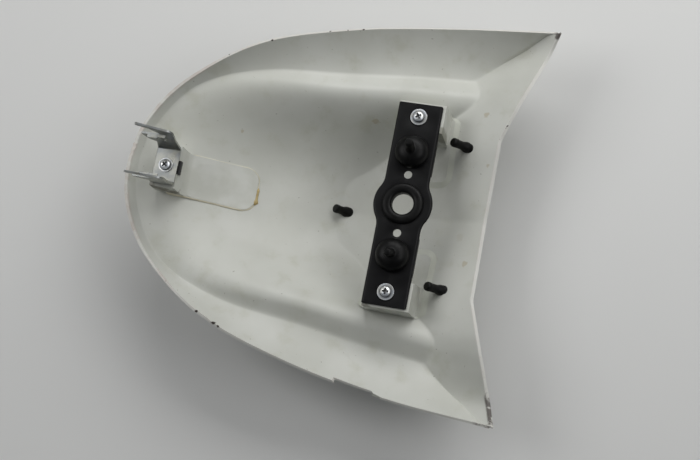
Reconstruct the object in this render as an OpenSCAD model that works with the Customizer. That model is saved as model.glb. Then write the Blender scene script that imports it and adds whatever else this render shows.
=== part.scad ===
// Motorcycle seat cowl, seen with its inside up, as it lies on its own hump.
// The origin is the centre of the mounting plate's hole, on the plate's upper face.
// +X is the riding direction, +Z comes out of the open inside, and +Y is the bike's right side.

/* [Shell] */
// Wall thickness of the moulding
wall = 2.4; // [1.8:0.1:3.2]
// From the origin back to the tail of the rim
tail_reach = 203.5; // [195:0.5:215]
// From the origin forward to the tips of the horns
horn_reach = 84; // [78:1:92]
// Half of the width across the horns
half_width = 141; // [134:1:148]
// Depth of the hump's lowest inside point below the plate
hump_depth = 61; // [57:1:66]
// Steepness of the inner bank of each side ridge
bowl_power = 2.5; // [2.1:0.1:2.9]
// Height over which the ridge rounds into the bowl
ridge_round = 12; // [6:1:18]
// Hollow of the side wall at the horns
wall_sag = 5; // [2:0.5:7]
// Height of the flat that the hump lies on
rest_flat = 0.9; // [0.3:0.1:1.3]
// Depth of the step cut in the left rim
notch_depth = 2.8; // [1:0.1:4]

/* [Plate] */
// Length of the mounting plate
plate_l = 147; // [142:1:152]
// Width of the mounting plate
plate_w = 32; // [28:1:35]
// Sheet thickness of the mounting plate
plate_t = 2; // [1.5:0.1:3]
// Diameter of the round middle of the plate
plate_boss_d = 42; // [38:1:48]
// Height of the lips folded down along the plate
lip_h = 4; // [3:0.5:6]
// Distance from each plate screw to the end of the plate
screw_inset = 10; // [8:0.5:12]
// Diameter of the two small holes
small_hole_d = 5.8; // [4:0.1:7]
// Distance between the two small holes
small_pitch = 42.4; // [41:0.1:44]
// Bore of the rubber grommet
grommet_bore = 15.4; // [12:0.1:17]
// Diameter of the hole that holds the grommet
grommet_seat = 20; // [19:0.5:23]
// Diameter of the grommet's flanges
grommet_d = 29.5; // [27:0.5:32]
// Thickness of each grommet flange
grommet_t = 2.4; // [1.5:0.1:3]

/* [Bump stops] */
// How far each bump stop sits outwards from the middle between grommet and washer
stop_shift = 1.4; // [0:0.1:2]
// Diameter of a bump stop's dome
stop_d = 24; // [20:0.5:26]
// Height of the dome without its pull tip
stop_h = 12; // [9:0.5:15]
// Height of the pull tip on the dome
stop_tip_h = 7; // [4:0.5:9]
// Diameter of the neck in the plate
stop_neck_d = 10; // [8:0.5:12]

/* [Pedestals] */
// Length of a pedestal's top along the plate
ped_l = 20.5; // [18:0.5:21]
// Width of a pedestal's top across the plate
ped_w = 33.5; // [30:0.5:35]
// Widening of a pedestal's front from its top to its foot
ped_draft = 1.5; // [0.5:0.5:4]
// Wall of a pedestal
ped_wall = 3; // [2:0.5:4]
// Thickness of the bonding flange round a pedestal's foot
flange_t = 1.2; // [0.8:0.1:2]
// Diameter of a threaded insert
insert_d = 7; // [6:0.5:8]
// Depth of a threaded insert
insert_h = 9; // [6:0.5:11]

/* [Screws] */
// Thread diameter of the plate screws
screw_d = 4; // [3:0.5:5]
// Length of a plate screw below its head
screw_l = 11; // [9:0.5:12]
// Head diameter of the screws
head_d = 8; // [7:0.5:9]
// Head height of the screws
head_h = 2.8; // [2:0.1:3.4]
// Outer diameter of the plate washers
washer_d = 12; // [10:0.5:14]
// Thickness of all washers
washer_t = 1; // [0.6:0.1:1.6]
// Clearance between a screw and a hole that it only passes through
screw_gap = 0.25; // [0.1:0.05:0.4]

/* [Tail bracket] */
// Height of the bracket's base above the origin
bracket_z = 8; // [6:0.5:10]
// Sheet thickness of the bracket
bracket_t = 1.5; // [1:0.1:2]
// Outside width of the bracket's base
bracket_w = 28; // [26:0.5:30]
// Length of the bracket's base
bracket_l = 17.5; // [16:0.5:20]
// Height of the bracket's ears above its base
ear_h = 35; // [30:1:40]
// Opening of the fork in each ear at its closed end
fork_gap = 5.6; // [4.5:0.1:6.5]
// Outer diameter of the tail washer
tail_washer_d = 10.4; // [9:0.2:11]

/* [Pegs] */
// Diameter of a rubber peg at its foot
peg_foot_d = 8.2; // [7.5:0.1:10]
// Diameter of a rubber peg at its head
peg_head_d = 7; // [6:0.1:8]
// Length of the two outer pegs
peg_l = 14; // [12:0.5:18]
// Length of the centre peg
centre_peg_l = 12; // [9:0.5:15]
// Lean of the pegs from upright towards the tail
peg_lean = 42; // [30:1:50]

/* [Hidden] */
$fn = 48;

// The shell's lines at nominal size, each from the tail (station 0) to the horns (station 6).
// The rim's inner edge:
RIM = [[-203.5, 0, 0], [-196.5, 34, 0], [-171.5, 68.5, 1], [-124, 102, 2],
       [-60, 122.5, -4], [10, 135, -11], [84, 141, -9]];
// The crease between the side wall and the ridge:
CREASE = [[-199.5, 0, -6], [-192, 32.5, -6], [-167, 66.5, -6], [-121, 86, -10.5],
          [-58, 94.5, -18.5], [-8, 101, -25], [62, 108, -36]];
// Upward slope of the ridge from the crease inwards, one value for each station
RIDGE_SLOPE = [0.05, 0.08, 0.14, 0.22, 0.33, 0.48, 0.55];
// Height of the bowl's floor on the centre line, by X
KEEL = [[-205, -3], [-182, -9.5], [-164, -17], [-140, -28], [-115, -39], [-90, -49],
        [-70, -57], [-51, -61.2], [-20, -64], [20, -65.5], [60, -66]];
// Where the bowl's bank reaches the ridge: half width and height, by X
BANK_Y = [[-205, 48], [-163, 56], [-128, 64.4], [-91, 69.3], [-55, 73], [-19, 77.6], [10, 81], [60, 88]];
BANK_Z = [[-205, 8], [-163, -1], [-128, -5.5], [-91, -8.5], [-55, -11.5], [-19, -14.5],
          [10, -16.5], [60, -19]];
// The front face: its height on the centre line by X, and what is added to it by |Y|
FACE = [[-120, -66], [-60, -61.6], [-51, -60.9], [-38, -60.2], [-25, -57.4], [0, -47.6], [30, -33.8],
        [56, -21], [84, -8]];
FACE_SIDE = [[0, 0], [30, 3.5], [58, 9], [80, 9], [93, 6.5], [104, 2.5], [127, -5], [141, -1]];
// The front edge in plan, by Y: straight to the kink, then out to the horn tip
EDGE = [[0, 56], [58, 57.6], [141, 86.5]];
// The grid: steps on floor and ridge, on the side wall, along the body and along the front face
N_IN = 16;
N_WALL = 4;
N_BODY = 26;
N_FACE = 8;
N_SIDE = N_IN + N_WALL;
N_LONG = N_BODY + N_FACE;
LAST = len(RIM) - 1;
SPINE_START = -120;
// The notch in the left rim: its stations, the body's steps that its corners take, and its ends' slant
NOTCH = [4.485, 4.97];
NOTCH_STEPS = [19, 20, 21, 22];
NOTCH_SLANT = 0.005;

// Nominal lines to real size
function kx(x) = x < 0 ? x * tail_reach / 203.5 : x * horn_reach / 84;
function ky(y) = y * half_width / 141;
function kz(z) = z < -20 ? -20 + (z + 20) * (hump_depth - 20) / 41 : z;
function size3(p) = [kx(p[0]), ky(p[1]), kz(p[2])];

// Smooth curve through unevenly spaced points of a table
function slope_at(t, i) = i <= 0 ? (t[1][1] - t[0][1]) / (t[1][0] - t[0][0])
    : i >= len(t) - 1 ? (t[i][1] - t[i - 1][1]) / (t[i][0] - t[i - 1][0])
    : (t[i + 1][1] - t[i - 1][1]) / (t[i + 1][0] - t[i - 1][0]);
function span(t, x, i = 0) = i >= len(t) - 2 || x < t[i + 1][0] ? i : span(t, x, i + 1);
function hermite(a, b, ma, mb, u) = a * (2 * u * u * u - 3 * u * u + 1) + ma * (u * u * u - 2 * u * u + u)
    + b * (3 * u * u - 2 * u * u * u) + mb * (u * u * u - u * u);
function curve(t, x) = x <= t[0][0] ? t[0][1] + slope_at(t, 0) * (x - t[0][0])
    : let (i = span(t, x), w = t[i + 1][0] - t[i][0])
      hermite(t[i][1], t[i + 1][1], slope_at(t, i) * w, slope_at(t, i + 1) * w, (x - t[i][0]) / w);

// Smooth curve through a line's stations, mirrored across the tail
function station(p, k) = k < 0 ? [p[-k][0], -p[-k][1], p[-k][2]]
    : k > LAST ? 2 * p[LAST] - p[2 * LAST - k] : p[k];
function along(p, t) = let (k = min(floor(t), LAST - 1))
    hermite(station(p, k), station(p, k + 1), (station(p, k + 1) - station(p, k - 1)) / 2,
            (station(p, k + 2) - station(p, k)) / 2, t - k);
function value_at(v, t) = lookup(t, [for (k = [0:LAST]) [k, v[k]]]);

// Heights of the inside surface
function soft_min(a, b, r) = let (h = max(r - abs(a - b), 0) / r) min(a, b) - h * h * r / 4;
function bowl(x, y) = let (k = curve(KEEL, x))
    k + (curve(BANK_Z, x) - k) * pow(abs(y) / curve(BANK_Y, x), bowl_power);
function face(x, y) = curve(FACE, x) + curve(FACE_SIDE, abs(y));
function edge_x(y) = lookup(abs(y), EDGE);
function spine(t) = [SPINE_START + (EDGE[0][1] - SPINE_START) * t / LAST, 0, 0];

// A point of the body at step i across and station t, at nominal size
function in_body(i, t) = let (c = along(CREASE, t), s = spine(t), u = i / N_IN, p = s + (c - s) * u,
        d = norm([c[0] - p[0], c[1] - p[1]]))
    [p[0], p[1], soft_min(bowl(p[0], p[1]), c[2] + value_at(RIDGE_SLOPE, t) * d, ridge_round)
        * (1 - pow(u, 12)) + c[2] * pow(u, 12)];
function on_wall(i, t) = let (c = along(CREASE, t), r = along(RIM, t), w = (i - N_IN) / N_WALL)
    c + (r - c) * w - [0, 0, wall_sag * pow(t / LAST, 2) * 4 * w * (1 - w)];
function body(i, t) = i <= N_IN ? in_body(i, t) : on_wall(i, t);

// The station where a line across the body meets the front face
function meet(i, lo = 0, hi = 6, n = 0) = n > 22 ? (lo + hi) / 2
    : let (m = (lo + hi) / 2, p = body(i, m))
      p[2] > face(p[0], p[1]) ? meet(i, m, hi, n + 1) : meet(i, lo, m, n + 1);
MEET = [for (i = [0:N_SIDE]) i == N_SIDE ? LAST : meet(i)];

// The inside surface on the +Y side as a grid
function on_face(i, u) = let (a = body(i, MEET[i]), e = body(i, LAST), x = a[0] + (edge_x(e[1]) - a[0]) * u,
        y = a[1] + (e[1] - a[1]) * u)
    [x, y, u == 0 ? a[2] : face(x, y)];
function inner(i, j) = size3(j <= N_BODY ? body(i, MEET[i] * j / N_BODY) : on_face(i, (j - N_BODY) / N_FACE));
GRID = [for (i = [0:N_SIDE]) [for (j = [0:N_LONG]) inner(i, j)]];

// Outward normal at a grid point, flat across the centre plane
function unit(v) = v / norm(v);
function normal(i, j) = let (a = GRID[min(i + 1, N_SIDE)][j] - GRID[max(i - 1, 0)][j],
        b = GRID[i][min(j + 1, N_LONG)] - GRID[i][max(j - 1, 0)], n = cross(b, a))
    i + j == 0 ? unit(cross(a, [0, 1, 0])) : unit((i == 0 || j == 0) ? [n[0], 0, n[2]] : n);
function outer(i, j) = GRID[i][j] + normal(i, j) * wall * (normal(i, j)[2] > 0 ? -1 : 1);
OUTER = [for (i = [0:N_SIDE]) [for (j = [0:N_LONG]) outer(i, j)]];

// The left rim's row, with four of its points moved to the corners of the notch
function corner(j) = let (k = search(j, NOTCH_STEPS)[0], t = NOTCH[k < 2 ? 0 : 1] + (k == 0 ? -1 : k == 3 ? 1 : 0)
        * NOTCH_SLANT, p = size3(along(RIM, t)), c = size3(along(CREASE, t)))
    p + unit(c - p) * (k == 1 || k == 2 ? notch_depth : 0);
function is_corner(i, j) = i == N_SIDE && j >= NOTCH_STEPS[0] && j <= NOTCH_STEPS[3];
function left_inner(i, j) = is_corner(i, j) ? corner(j) : GRID[i][j];
function left_outer(i, j) = is_corner(i, j) ? corner(j) - normal(i, j) * wall : OUTER[i][j];
function mirrored(p) = [p[0], -p[1], p[2]];

// One closed half of a solid between two grids, without its centre plane
function cell(n, i, j) = i * n + j;
function turned(t) = [t[0], t[2], t[1]];
function halves(q, beside_spine) = beside_spine ? [[q[0], q[1], q[2]], [q[0], q[2], q[3]]]
    : [[q[0], q[1], q[3]], [q[1], q[2], q[3]]];
function quads(rows, cols, base, flip, first = 0) = [for (i = [0:rows - 2]) for (j = [0:cols - 2])
    let (r = base + cell(cols, i, j), q = [r, r + 1, r + cols + 1, r + cols])
    for (t = halves(q, first + i == 0)) flip ? turned(t) : t];
function joined(a, b, m, flip) = let (q = [a, b, b + m, a + m])
    flip ? [[q[0], q[1], q[2]], [q[0], q[2], q[3]]] : [[q[0], q[2], q[1]], [q[0], q[3], q[2]]];
function edges(rows, cols, m, base, flip) = [
    for (j = [0:cols - 2])
        each joined(base + cell(cols, rows - 1, j), base + cell(cols, rows - 1, j + 1), m, flip),
    for (i = [0:rows - 2])
        each joined(base + cell(cols, i + 1, cols - 1), base + cell(cols, i, cols - 1), m, flip)];

module moulding() {
    rows = N_SIDE + 1;
    cols = N_LONG + 1;
    m = rows * cols;
    right_in = [for (i = [0:N_SIDE]) for (j = [0:N_LONG]) GRID[i][j]];
    right_out = [for (i = [0:N_SIDE]) for (j = [0:N_LONG]) OUTER[i][j]];
    left_in = [for (i = [0:N_SIDE]) for (j = [0:N_LONG]) mirrored(left_inner(i, j))];
    left_out = [for (i = [0:N_SIDE]) for (j = [0:N_LONG]) mirrored(left_outer(i, j))];
    polyhedron(concat(right_in, right_out, left_in, left_out), concat(
        quads(rows, cols, 0, true), quads(rows, cols, m, false), edges(rows, cols, m, 0, false),
        quads(rows, cols, 2 * m, false), quads(rows, cols, 3 * m, true), edges(rows, cols, m, 2 * m, true)));
}

// The space between two heights over the inside surface, on a stretch of the grid
module layer(i0, i1, j0, j1, low, high) {
    rows = i1 - i0 + 1;
    cols = j1 - j0 + 1;
    m = rows * cols;
    function level(z) = [for (i = [i0:i1]) for (j = [j0:j1]) GRID[i][j] + [0, 0, z]];
    polyhedron(concat(level(high), level(low)), concat(
        quads(rows, cols, 0, true, i0), quads(rows, cols, m, false, i0), edges(rows, cols, m, 0, false),
        [for (j = [0:cols - 2]) each joined(j, j + 1, m, true)],
        [for (i = [0:rows - 2]) each joined(cell(cols, i + 1, 0), cell(cols, i, 0), m, true)]));
}

// The same over a box in plan [x0, x1, y0, y1] on the +Y side
REACH = 12;
function steps_over(b) = [for (i = [0:N_SIDE]) for (j = [0:N_LONG]) let (p = GRID[i][j])
    if (p[0] > b[0] - REACH && p[0] < b[1] + REACH && p[1] > b[2] - REACH && p[1] < b[3] + REACH) [i, j]];
module bed(box, low, high) {
    q = steps_over(box);
    is = [for (k = q) k[0]];
    js = [for (k = q) k[1]];
    layer(min(is), max(is), min(js), max(js), low, high);
}
function floor_z(x, y) = kz(face(x > 0 ? x * 84 / horn_reach : x * 203.5 / tail_reach, y * 141 / half_width));

module both_sides() {
    children();
    mirror([0, 1, 0]) children();
}

// The shell, with the flat that it lies on
REST_Z = -hump_depth - wall + rest_flat;
module cowl_shell() {
    color("#dcdfd4") difference() {
        moulding();
        translate([-tail_reach, -half_width, REST_Z - wall]) cube([2 * tail_reach, 2 * half_width, wall]);
    }
}

// Mounting plate: a flat bar with a round middle, folded lips and its holes
SCREW_Y = plate_l / 2 - screw_inset;
STOP_Y = (grommet_d / 2 + SCREW_Y - washer_d / 2) / 2 + stop_shift;
PLATE_CORNER = 1.2;
WAIST_R = 14;
LIP_GAP = 1.5;
module plate_outline() {
    half = plate_w / 2;
    boss = plate_boss_d / 2;
    cx = half + WAIST_R;
    cy = sqrt(pow(boss + WAIST_R, 2) - cx * cx);
    square([plate_w - 2 * PLATE_CORNER, plate_l], center = true);
    square([plate_w, plate_l - 2 * PLATE_CORNER], center = true);
    for (x = [-1, 1], y = [-1, 1])
        translate([x * (half - PLATE_CORNER), y * (plate_l / 2 - PLATE_CORNER)]) circle(PLATE_CORNER);
    circle(boss);
    for (x = [0, 1], y = [0, 1]) mirror([x, 0]) mirror([0, y]) difference() {
        polygon([[half - 1, 0], [half - 1, cy], [half, cy], [cx, cy], [cx * boss / (boss + WAIST_R),
                 cy * boss / (boss + WAIST_R)], [boss - 2, 0]]);
        translate([cx, cy]) circle(WAIST_R);
    }
}

module mount_plate() {
    lip_from = plate_boss_d / 2 + LIP_GAP;
    lip_to = PED_Y - ped_l / 2 - LIP_GAP;
    color("#1b1b1c") {
        translate([0, 0, -plate_t]) linear_extrude(plate_t) difference() {
            plate_outline();
            circle(d = grommet_seat);
            for (s = [-1, 1]) {
                translate([0, s * small_pitch / 2]) circle(d = small_hole_d);
                translate([0, s * STOP_Y]) circle(d = stop_neck_d);
                translate([0, s * SCREW_Y]) circle(d = screw_d + 2 * screw_gap);
            }
        }
        for (x = [0, 1], y = [0, 1]) mirror([x, 0, 0]) mirror([0, y, 0])
            translate([plate_w / 2 - plate_t, lip_from, -plate_t - lip_h]) cube([plate_t, lip_to - lip_from, lip_h]);
    }
}

// Rubber grommet in the plate's middle hole
EASE = 0.6;
module centre_grommet() {
    bore = grommet_bore / 2;
    seat = grommet_seat / 2;
    flange = grommet_d / 2;
    color("#141414") rotate_extrude() polygon([
        [bore, -plate_t - grommet_t], [flange - 2, -plate_t - grommet_t], [flange - 1, -plate_t],
        [seat, -plate_t], [seat, 0], [flange, 0], [flange, grommet_t - 2 * EASE],
        [flange - 2 * EASE, grommet_t], [bore + EASE, grommet_t], [bore, grommet_t - EASE]]);
}

// Rubber bump stop pulled through the plate, with its pull tip still on
STOP_SKIRT = 2;
STOP_TIP_D = 7;
LATCH_D = 14;
LATCH_H = 3;
module bump_stop() {
    neck = stop_neck_d / 2;
    tip = STOP_TIP_D / 2;
    rise = stop_h - STOP_SKIRT;
    color("#121212") rotate_extrude() polygon(concat(
        [[0, -plate_t - LATCH_H], [neck, -plate_t - LATCH_H], [LATCH_D / 2, -plate_t - 1],
         [LATCH_D / 2, -plate_t], [neck, -plate_t], [neck, 0], [stop_d / 2 - EASE, 0],
         [stop_d / 2, EASE], [stop_d / 2, STOP_SKIRT]],
        [for (a = [15:15:75]) [tip + (stop_d / 2 - tip) * cos(a), STOP_SKIRT + rise * sin(a)]],
        [[tip, stop_h], [tip, stop_h + stop_tip_h - 1], [tip - 1, stop_h + stop_tip_h], [0, stop_h + stop_tip_h]]));
}
module bump_stop_right() { translate([0, STOP_Y, 0]) bump_stop(); }
module bump_stop_left() { translate([0, -STOP_Y, 0]) bump_stop(); }

// Pedestal: a hollow moulded block bonded to the front face, with a flange round its foot
PED_DEEP = 62;
BED_DEEP = 60;
PED_ROOF = 4;
PED_BACK_DRAFT = 1.5;
PED_INNER_DRAFT = 2.3;
PED_X = 1.2;
PED_Y = SCREW_Y + 1.2;
INSERT_BOSS = 12;
FLANGE_BOX = [-18, 22.5, SCREW_Y - 36.5, SCREW_Y + 10.5];
FLANGE_CORNER = 5;
module drafted(top, low_side, high_side) {
    depth = PED_DEEP - plate_t;
    polygon([[-top, 0], [top, 0], [top + high_side * depth / 28, -depth],
             [-top - low_side * depth / 28, -depth]]);
}
module ped_block(inset) {
    translate([PED_X, PED_Y, -plate_t]) intersection() {
        rotate([90, 0, 0]) linear_extrude(2 * ped_w, center = true)
            drafted(ped_w / 2 - inset, PED_BACK_DRAFT, ped_draft);
        rotate([90, 0, 90]) linear_extrude(2 * ped_w, center = true)
            drafted(ped_l / 2 - inset, PED_INNER_DRAFT, 0);
    }
}
module pedestal() {
    box = [PED_X - ped_w / 2, PED_X + ped_w / 2 + ped_draft, PED_Y - ped_l / 2, PED_Y + ped_l / 2];
    color("#dfe1d8") difference() {
        union() {
            difference() {
                ped_block(0);
                bed(box, -BED_DEEP, 0);
            }
            intersection() {
                rounded_post(FLANGE_BOX, FLANGE_CORNER);
                bed(FLANGE_BOX, 0, flange_t);
            }
        }
        difference() {
            translate([0, 0, -PED_ROOF]) ped_block(ped_wall);
            translate([0, SCREW_Y, -plate_t - PED_ROOF - insert_h])
                cylinder(d = INSERT_BOSS, h = insert_h + PED_ROOF);
        }
        translate([0, SCREW_Y, -plate_t - insert_h]) cylinder(d = insert_d, h = insert_h + 1);
        translate([0, SCREW_Y, -plate_t - screw_l - 1]) cylinder(d = screw_d + 1, h = screw_l);
    }
}
module rounded_post(b, r) {
    translate([0, 0, -hump_depth - wall]) linear_extrude(hump_depth + wall + bracket_z) {
        translate([b[0] + r, b[2]]) square([b[1] - b[0] - 2 * r, b[3] - b[2]]);
        translate([b[0], b[2] + r]) square([b[1] - b[0], b[3] - b[2] - 2 * r]);
        for (x = [b[0] + r, b[1] - r], y = [b[2] + r, b[3] - r]) translate([x, y]) circle(r);
    }
}
module pedestal_right() { pedestal(); }
module pedestal_left() { mirror([0, 1, 0]) pedestal(); }

// Threaded brass insert in a pedestal's roof
module insert() {
    color("#b08d3c") translate([0, SCREW_Y, -plate_t - insert_h]) difference() {
        cylinder(d = insert_d, h = insert_h);
        translate([0, 0, -1]) cylinder(d = screw_d, h = insert_h + 2);
    }
}
module insert_right() { insert(); }
module insert_left() { mirror([0, 1, 0]) insert(); }

// Washer and pan-head screw with a cross recess
module washer(d, hole) {
    color("#c9ccd0") difference() {
        cylinder(d = d, h = washer_t);
        translate([0, 0, -1]) cylinder(d = hole + 2 * screw_gap, h = washer_t + 2);
    }
}
RECESS_W = 1.1;
RECESS_L = 4.4;
RECESS_D = 1.7;
module pan_screw(thread, length) {
    color("#d3d5d8") difference() {
        union() {
            cylinder(d = head_d, h = head_h / 2);
            translate([0, 0, head_h / 2]) cylinder(d1 = head_d, d2 = head_d * 0.62, h = head_h / 2);
            translate([0, 0, -length]) cylinder(d = thread, h = length);
        }
        for (a = [45, 135]) rotate(a)
            translate([-RECESS_L / 2, -RECESS_W / 2, head_h - RECESS_D]) cube([RECESS_L, RECESS_W, RECESS_D + 1]);
    }
}
module plate_washer_right() { translate([0, SCREW_Y, 0]) washer(washer_d, screw_d); }
module plate_washer_left() { translate([0, -SCREW_Y, 0]) washer(washer_d, screw_d); }
module plate_screw_right() { translate([0, SCREW_Y, washer_t]) pan_screw(screw_d, screw_l); }
module plate_screw_left() { translate([0, -SCREW_Y, washer_t]) pan_screw(screw_d, screw_l); }

// Tail block: a bonded tongue that rises into a hollow platform for the bracket
BLOCK_FRONT = kx(-164.6);
BLOCK_W = 31.6;
BLOCK_ROOF = 3.2;
BLOCK_WALL = 3;
TONGUE_END = kx(-116);
FILLET_R = 9;
TONGUE_ROOT = BLOCK_FRONT - BLOCK_WALL / 2;
TONGUE_CORNER = 9;
TAIL_SCREW_D = 5;
TAIL_SCREW_L = 12;
CLIP_T = 0.8;
CLIP_W = 9.8;
CLIP_BACK = 12;
CLIP_GAP = 0.2;
CLIP_OUT = 1.6;
BARREL_D = 8;
BARREL_H = 4;
BRACKET_FRONT = BLOCK_FRONT - 0.2;
PLATFORM_Z = bracket_z - bracket_t;
TAIL_SCREW_X = BRACKET_FRONT - bracket_l / 2;
function tongue_z(x) = kz(curve(KEEL, x * 203.5 / tail_reach)) + flange_t;
module root_fillet() {
    z = tongue_z(BLOCK_FRONT);
    fall = (tongue_z(BLOCK_FRONT + FILLET_R) - z) / FILLET_R;
    up = FILLET_R * (fall + norm([1, fall]));
    out = FILLET_R * (1 + fall / norm([1, fall]));
    translate([BLOCK_FRONT, BLOCK_W / 2, z]) rotate([90, 0, 0]) linear_extrude(BLOCK_W) difference() {
        polygon([[-1, up], [0, up], [out, fall * out + FILLET_R / 4], [out, fall * out - FILLET_R],
                 [-1, -FILLET_R]]);
        translate([FILLET_R, up]) circle(FILLET_R);
    }
}
module tail_block() {
    back = TAIL_SCREW_X - bracket_l / 2 - 1;
    depth = PLATFORM_Z - tongue_z(BLOCK_FRONT) + FILLET_R;
    wide = BLOCK_W / 2;
    color("#dcdfd4") {
        difference() {
            union() {
                translate([back, -wide, PLATFORM_Z - depth]) cube([BLOCK_FRONT - back, BLOCK_W, depth]);
                root_fillet();
            }
            translate([back + BLOCK_WALL, -wide + BLOCK_WALL, PLATFORM_Z - BLOCK_ROOF - depth])
                cube([BLOCK_FRONT - back - 2 * BLOCK_WALL, BLOCK_W - 2 * BLOCK_WALL, depth]);
            translate([BLOCK_FRONT - CLIP_BACK - CLIP_GAP, -CLIP_W / 2 - CLIP_GAP, PLATFORM_Z - CLIP_T])
                cube([CLIP_BACK + 2, CLIP_W + 2 * CLIP_GAP, CLIP_T + 1]);
            translate([BLOCK_FRONT - BLOCK_WALL - 1, -CLIP_W / 2 - CLIP_GAP,
                       PLATFORM_Z - BLOCK_ROOF - CLIP_T - BARREL_H - CLIP_GAP])
                cube([BLOCK_WALL + 2, CLIP_W + 2 * CLIP_GAP, CLIP_T + BARREL_H + CLIP_GAP]);
            translate([TAIL_SCREW_X, 0, PLATFORM_Z - BLOCK_ROOF - 1])
                cylinder(d = TAIL_SCREW_D + 2, h = BLOCK_ROOF + 2);
            both_sides() bed([back, BLOCK_FRONT + FILLET_R, 0, wide], -BED_DEEP, 0);
        }
        intersection() {
            rounded_post([TONGUE_ROOT, TONGUE_END, -wide, wide], TONGUE_CORNER);
            both_sides() bed([TONGUE_ROOT, TONGUE_END, 0, wide], 0, flange_t);
        }
    }
}

// Spring clip nut, slid over the platform's front edge
module tail_clip_nut() {
    low = PLATFORM_Z - BLOCK_ROOF - CLIP_T;
    x0 = BLOCK_FRONT - CLIP_BACK;
    color("#202022") difference() {
        union() {
            translate([x0, -CLIP_W / 2, PLATFORM_Z - CLIP_T]) cube([CLIP_BACK + CLIP_OUT, CLIP_W, CLIP_T]);
            translate([x0, -CLIP_W / 2, low]) cube([CLIP_BACK + CLIP_OUT, CLIP_W, CLIP_T]);
            translate([BLOCK_FRONT + CLIP_OUT - CLIP_T, -CLIP_W / 2, low])
                cube([CLIP_T, CLIP_W, PLATFORM_Z - low]);
            translate([TAIL_SCREW_X, 0, low - BARREL_H]) cylinder(d = BARREL_D, h = BARREL_H + CLIP_T / 2);
        }
        translate([TAIL_SCREW_X, 0, low - BARREL_H - 1]) cylinder(d = TAIL_SCREW_D, h = BARREL_H + CLIP_T + 2);
        translate([TAIL_SCREW_X, 0, PLATFORM_Z - CLIP_T - 1]) cylinder(d = TAIL_SCREW_D + 1, h = 4);
    }
}
module tail_washer() { translate([TAIL_SCREW_X, 0, bracket_z]) washer(tail_washer_d, TAIL_SCREW_D); }
module tail_screw() { translate([TAIL_SCREW_X, 0, bracket_z + washer_t]) pan_screw(TAIL_SCREW_D, TAIL_SCREW_L); }

// Tail bracket: a folded sheet with two splayed, forked ears and small tabs folded inwards
EAR_SPLAY = 5.7;
BEND_R = 2.5;
TAB_LOW = [-18, -10.3, 12.7, 3.4];
TAB_HIGH = [-9.6, -3.4, 13, 3.4];
PIP_D = 2.2;
FORK_Z = ear_h * 0.76;
BEND_STEPS = 6;
function bend(r, k) = let (a = -90 + (90 - EAR_SPLAY) * k / BEND_STEPS)
    [bracket_w / 2 - BEND_R + r * cos(a), BEND_R + r * sin(a)];
function up_ear(p) = p + (ear_h + 14) * [sin(EAR_SPLAY), cos(EAR_SPLAY)];
module bracket_section() {
    outside = [for (k = [0:BEND_STEPS]) bend(BEND_R, k)];
    inside = [for (k = [BEND_STEPS:-1:0]) bend(BEND_R - bracket_t, k)];
    right = concat(outside, [up_ear(outside[BEND_STEPS]), up_ear(inside[0])], inside);
    left = [for (k = [len(right) - 1:-1:0]) [-right[k][0], right[k][1]]];
    polygon(concat(right, left));
}
module bracket_side() {
    difference() {
        polygon([[-bracket_l, 0], [0, 0], [0, 4], [0.7, ear_h * 0.5], [2.4, ear_h * 0.88], [2.4, ear_h * 0.93],
                 [1.3, ear_h], [-0.9, ear_h + 1.4], [-12.4, ear_h + 5], [-21.5, ear_h + 8.9],
                 [-22.6, ear_h + 8.4], [-22.6, ear_h * 0.75], [-22, ear_h * 0.63], [-19.1, ear_h * 0.48],
                 [-14.9, ear_h * 0.38], [-bracket_l + 0.5, 4]]);
        polygon([[-30, FORK_Z], [-9.3, FORK_Z], [-8, FORK_Z + fork_gap * 0.25], [-7.6, FORK_Z + fork_gap * 0.5],
                 [-8.2, FORK_Z + fork_gap * 0.9], [-9.8, FORK_Z + fork_gap], [-11.9, FORK_Z + fork_gap + 3],
                 [-14, FORK_Z + fork_gap + 5.4], [-22.4, ear_h + 6.2], [-30, ear_h + 6.2]]);
    }
}
module folded_tab(t, z) {
    translate([t[0], t[2], z]) cube([t[1] - t[0], t[3], bracket_t]);
}
module tail_bracket() {
    color("#b9bcbd") difference() {
        translate([BRACKET_FRONT, 0, PLATFORM_Z]) {
            intersection() {
                translate([-2 * bracket_l, 0, 0]) rotate([90, 0, 90]) linear_extrude(3 * bracket_l)
                    bracket_section();
                rotate([90, 0, 0]) linear_extrude(2 * bracket_w, center = true) bracket_side();
            }
            both_sides() {
                folded_tab(TAB_LOW, FORK_Z - bracket_t);
                folded_tab(TAB_HIGH, FORK_Z + 1.5);
                translate([-6.5, 15.4, ear_h * 0.57]) rotate([90, 0, 0]) cylinder(d = PIP_D, h = 2.6);
            }
        }
        translate([TAIL_SCREW_X, 0, PLATFORM_Z - 1]) cylinder(d = TAIL_SCREW_D + 2 * screw_gap, h = bracket_t + 2);
    }
}

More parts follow.
